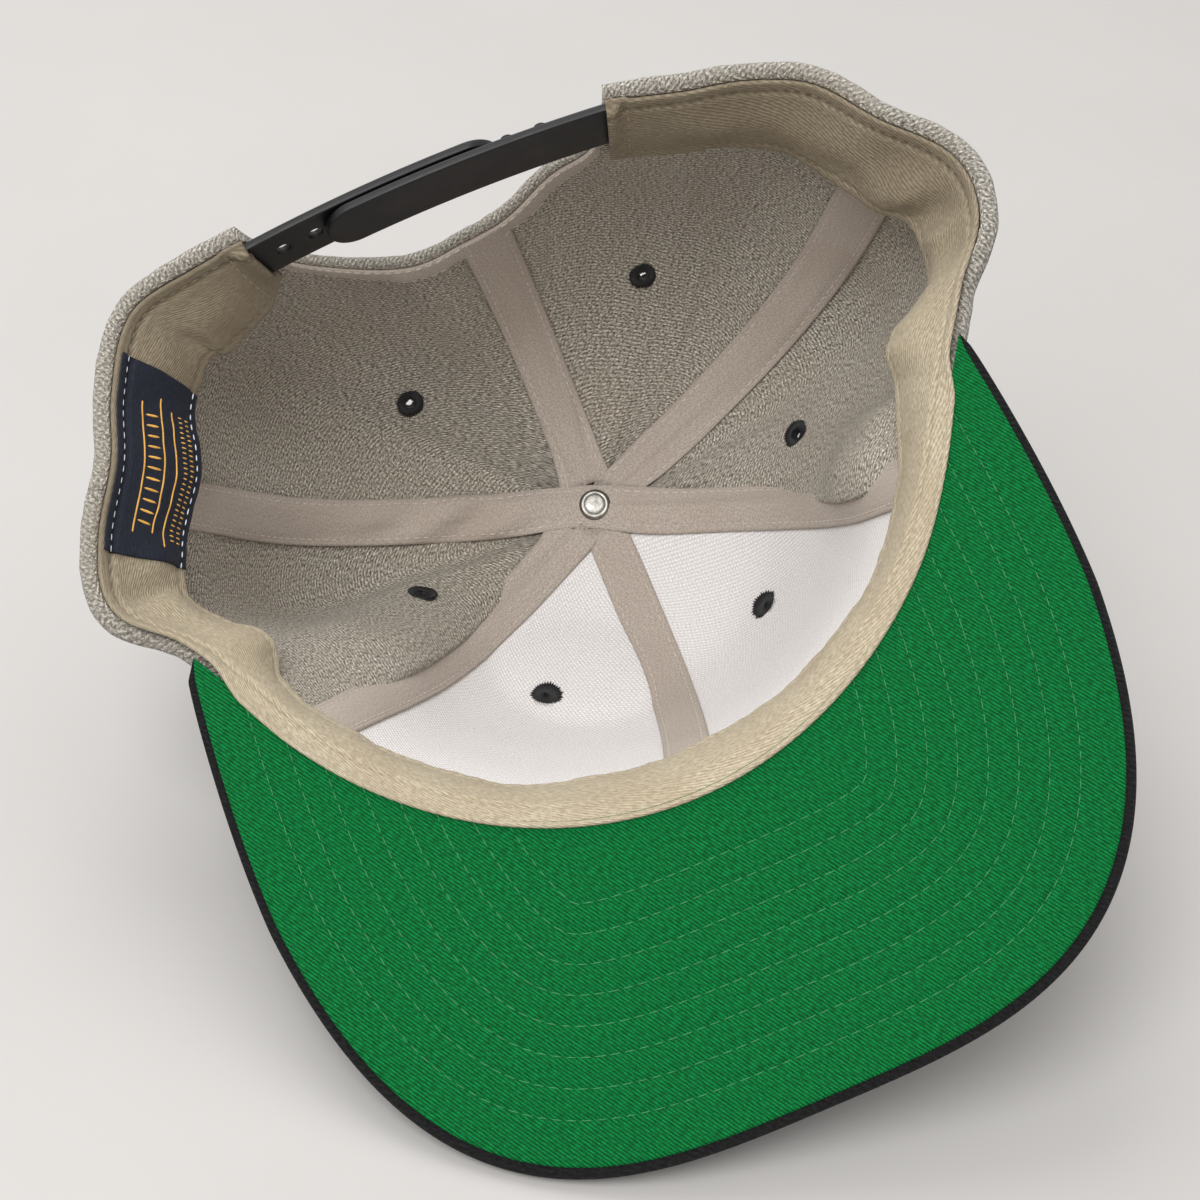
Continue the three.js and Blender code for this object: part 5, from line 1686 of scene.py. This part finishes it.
for seed, (name, node, deg, along, bore) in enumerate(eyeletRows):
    inside = eyelet["proud"] + (wool["gap"] + wool["buckram"] if node.startswith("front") else 0)
    radius, low, high = eyelet["radius"], -eyelet["sink"], inside - eyelet["coreSink"]
    outer = radius + eyelet["shutSpread" if bore < eyelet["shut"] else "spread"]
    layers = []
    for height, bulge in (
        (inside - eyelet["faceSink"], eyelet["faceBulge"]), (low - eyelet["backSink"], eyelet["backBulge"]),
    ):
        holder = bpy.data.objects.new("ring", bpy.data.meshes.new("ring"))
        bpy.context.scene.collection.objects.link(holder)
        runTree(holder, spokes, {
            "Threads": eyelet["threads"], "Inner": bore * eyelet["innerShare"], "Outer": outer,
            "Radius": eyelet["thread"], "Bulge": bulge, "Seed": seed + 3, "Thread": materials["blackThread"],
        })
        holder.data.transform(Matrix.Translation((0, 0, height)))
        layers.append(holder.data)
        bpy.data.objects.remove(holder)
    core = lathe([(bore, low), (radius, low), (radius, high), (bore, high), (bore, low)], facets["eyelet"])
    if bore < eyelet["shut"]:
        plug = bore + eyelet["plug"]
        layers.append(
            lathe([(0, -0.2), (plug, -0.2), (plug, inside - 0.5), (0, inside - 0.3)], facets["plug"])
        )
    seat, facing = eyeletSeat(deg, along)
    matrix = capMatrix(seat, facing - np.array([0, 0, eyelet["leans"].get(node, 0.0)]))
    finishTurned(name, joinMeshes(name, [core, *layers]), "blackThread", "black_thread", [node], matrix)


topPoint = crown(0.0, 1.0)
rivetBase = 3.75
rivetProfile = [
    (0, -1.2), (3.9, -1.2), (4.15, -0.1), (4.2, 0.2), (4.12, 0.5), (3.9, 0.78), (3.5, 1.0), (3.2, 1.08),
    (3.05, 1.02), (2.9, 1.02), (2.75, 1.12), (2.1, 1.22), (1.4, 1.29), (0.7, 1.33), (0, 1.34),
]
rivetMesh = lathe(rivetProfile, facets["rivet"])
rivetSeat = capMatrix(topPoint - np.array([0, 0, rivetBase]), (0, 0, -1))
finishTurned("buttonRivet", rivetMesh, "nickel", "rivet_steel", ["button_rivet"], rivetSeat)
buttonProfile = [
    (0, -0.9), (5.4, -0.9), (5.4, 1.6), (7.6, 1.7), (8.4, 2.3), (8.5, 3.1), (8.1, 4.1), (7.1, 5.1),
    (5.6, 5.8), (3.8, 6.2), (1.9, 6.4), (0, 6.45),
]
buttonMesh = lathe(buttonProfile, facets["button"])
uvLayer = buttonMesh.uv_layers.new(name="cloth")
loopPoints = np.array([buttonMesh.vertices[loop.vertex_index].co[:] for loop in buttonMesh.loops])
uvLayer.data.foreach_set(
    "uv", ((loopPoints[:, :2] + loopPoints[:, 2:] * 0.7) / 1000).astype(np.float32).ravel(),
)
finishTurned(
    "topButton", buttonMesh, "coverWool", "black_wool", ["top_button"], capMatrix(topPoint, (0, 0, 1)),
)
print("fittings made")


# Rows of stitching on the outside, beside each seam

def outsideLine(deg, along):
    facing = crownFacing(deg, along)
    return crown(deg, along) - facing * (wool["thick"] + 0.02), -facing


seamRows = {"aside": 4.7, "hemClear": 3, "topClear": 9, "count": 160}
outerLines = []
for at in seams.values():
    for side in (-seamRows["aside"], seamRows["aside"]):
        foot = float(panelStart(at)) + float(rise(at, seamRows["hemClear"]))
        along = np.linspace(foot, float(nearTop(at, seamRows["topClear"])), seamRows["count"])
        deg = at + aside(np.full(seamRows["count"], float(at)), along, side)
        outerLines.append(outsideLine(deg, along))
stitchPiece("seamStitches", outerLines, "greyThread", spacing=2.6, length=2.0, radius=0.22, slot="grey_wool")

# Everything rides on the one body and stands for its solids
for name, facts in pieces.items():
    piece = bpy.data.objects[name]
    if facts["nodes"]:
        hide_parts(*facts["nodes"])
    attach(piece, "root")
triangles = sum(len(p.vertices) - 2 for n in pieces for p in bpy.data.objects[n].data.polygons)
print("pieces", len(pieces), "triangles", triangles)


# Floor, light and camera

def setStage():
    floorMesh = bpy.data.meshes.new("floor")
    size = 6
    floorMesh.from_pydata(
        [(-size, -size, 0), (size, -size, 0), (size, size, 0), (-size, size, 0)], [], [(0, 1, 2, 3)],
    )
    material, tree, principled = newMaterial("paleFloor", Roughness=0.6)
    space = addNode(tree, "ShaderNodeTexCoord").outputs["Object"]
    cloud = addNode(tree, "ShaderNodeTexNoise", {"Vector": space, "Scale": 7.0, "Detail": 4.0})
    tree.links.new(
        blendColours(tree, cloud.outputs["Fac"], tone(165, 163, 161), tone(173, 171, 169)),
        principled.inputs["Base Color"],
    )
    floorMesh.materials.append(material)
    floor = bpy.data.objects.new("floor", floorMesh)
    bpy.context.scene.collection.objects.link(floor)


light = {
    "world": 0.95, "key": (-0.4, -0.7, 1.35), "keyPower": 19.0, "keySize": 1.0,
    "fill": (-0.35, 0.75, 1.35), "fillPower": 10.0, "fillSize": 1.0,
}


def addLamp(name, spot, power, size):
    lamp = bpy.data.lights.new(name, "AREA")
    lamp.energy, lamp.size, lamp.shape = power, size, "DISK"
    holder = bpy.data.objects.new(name, lamp)
    holder.location = spot
    holder.rotation_mode = "QUATERNION"
    holder.rotation_quaternion = (Vector((0, 0, 0.05)) - Vector(spot)).to_track_quat("-Z", "Y")
    bpy.context.scene.collection.objects.link(holder)


setStage()
addLamp("window", light["key"], light["keyPower"], light["keySize"])
addLamp("bounce", light["fill"], light["fillPower"], light["fillSize"])
world = bpy.data.worlds.new("studio")
world.use_nodes = True
world.node_tree.nodes["Background"].inputs[0].default_value = (1.0, 0.985, 0.965, 1)
world.node_tree.nodes["Background"].inputs[1].default_value = light["world"]
bpy.context.scene.world = world
bpy.context.scene.view_settings.view_transform = "Standard"

lens = bpy.data.cameras.new("camera")
lens.sensor_width = camera["sensor"]
lens.lens = camera["focus"] / camera["frame"] * camera["sensor"]
lens.clip_start, lens.clip_end = 0.01, 50
viewer = bpy.data.objects.new("camera", lens)
up, back = Vector(capTurn @ np.array(camera["up"])), -Vector(capTurn @ np.array(camera["ahead"]))
back.normalize()
right = up.cross(back).normalized()
up = back.cross(right)
turn = Matrix((right, up, back)).transposed()
viewer.matrix_world = Matrix.Translation(Vector(place(camera["place"]))) @ turn.to_4x4()
bpy.context.scene.collection.objects.link(viewer)
bpy.context.scene.camera = viewer
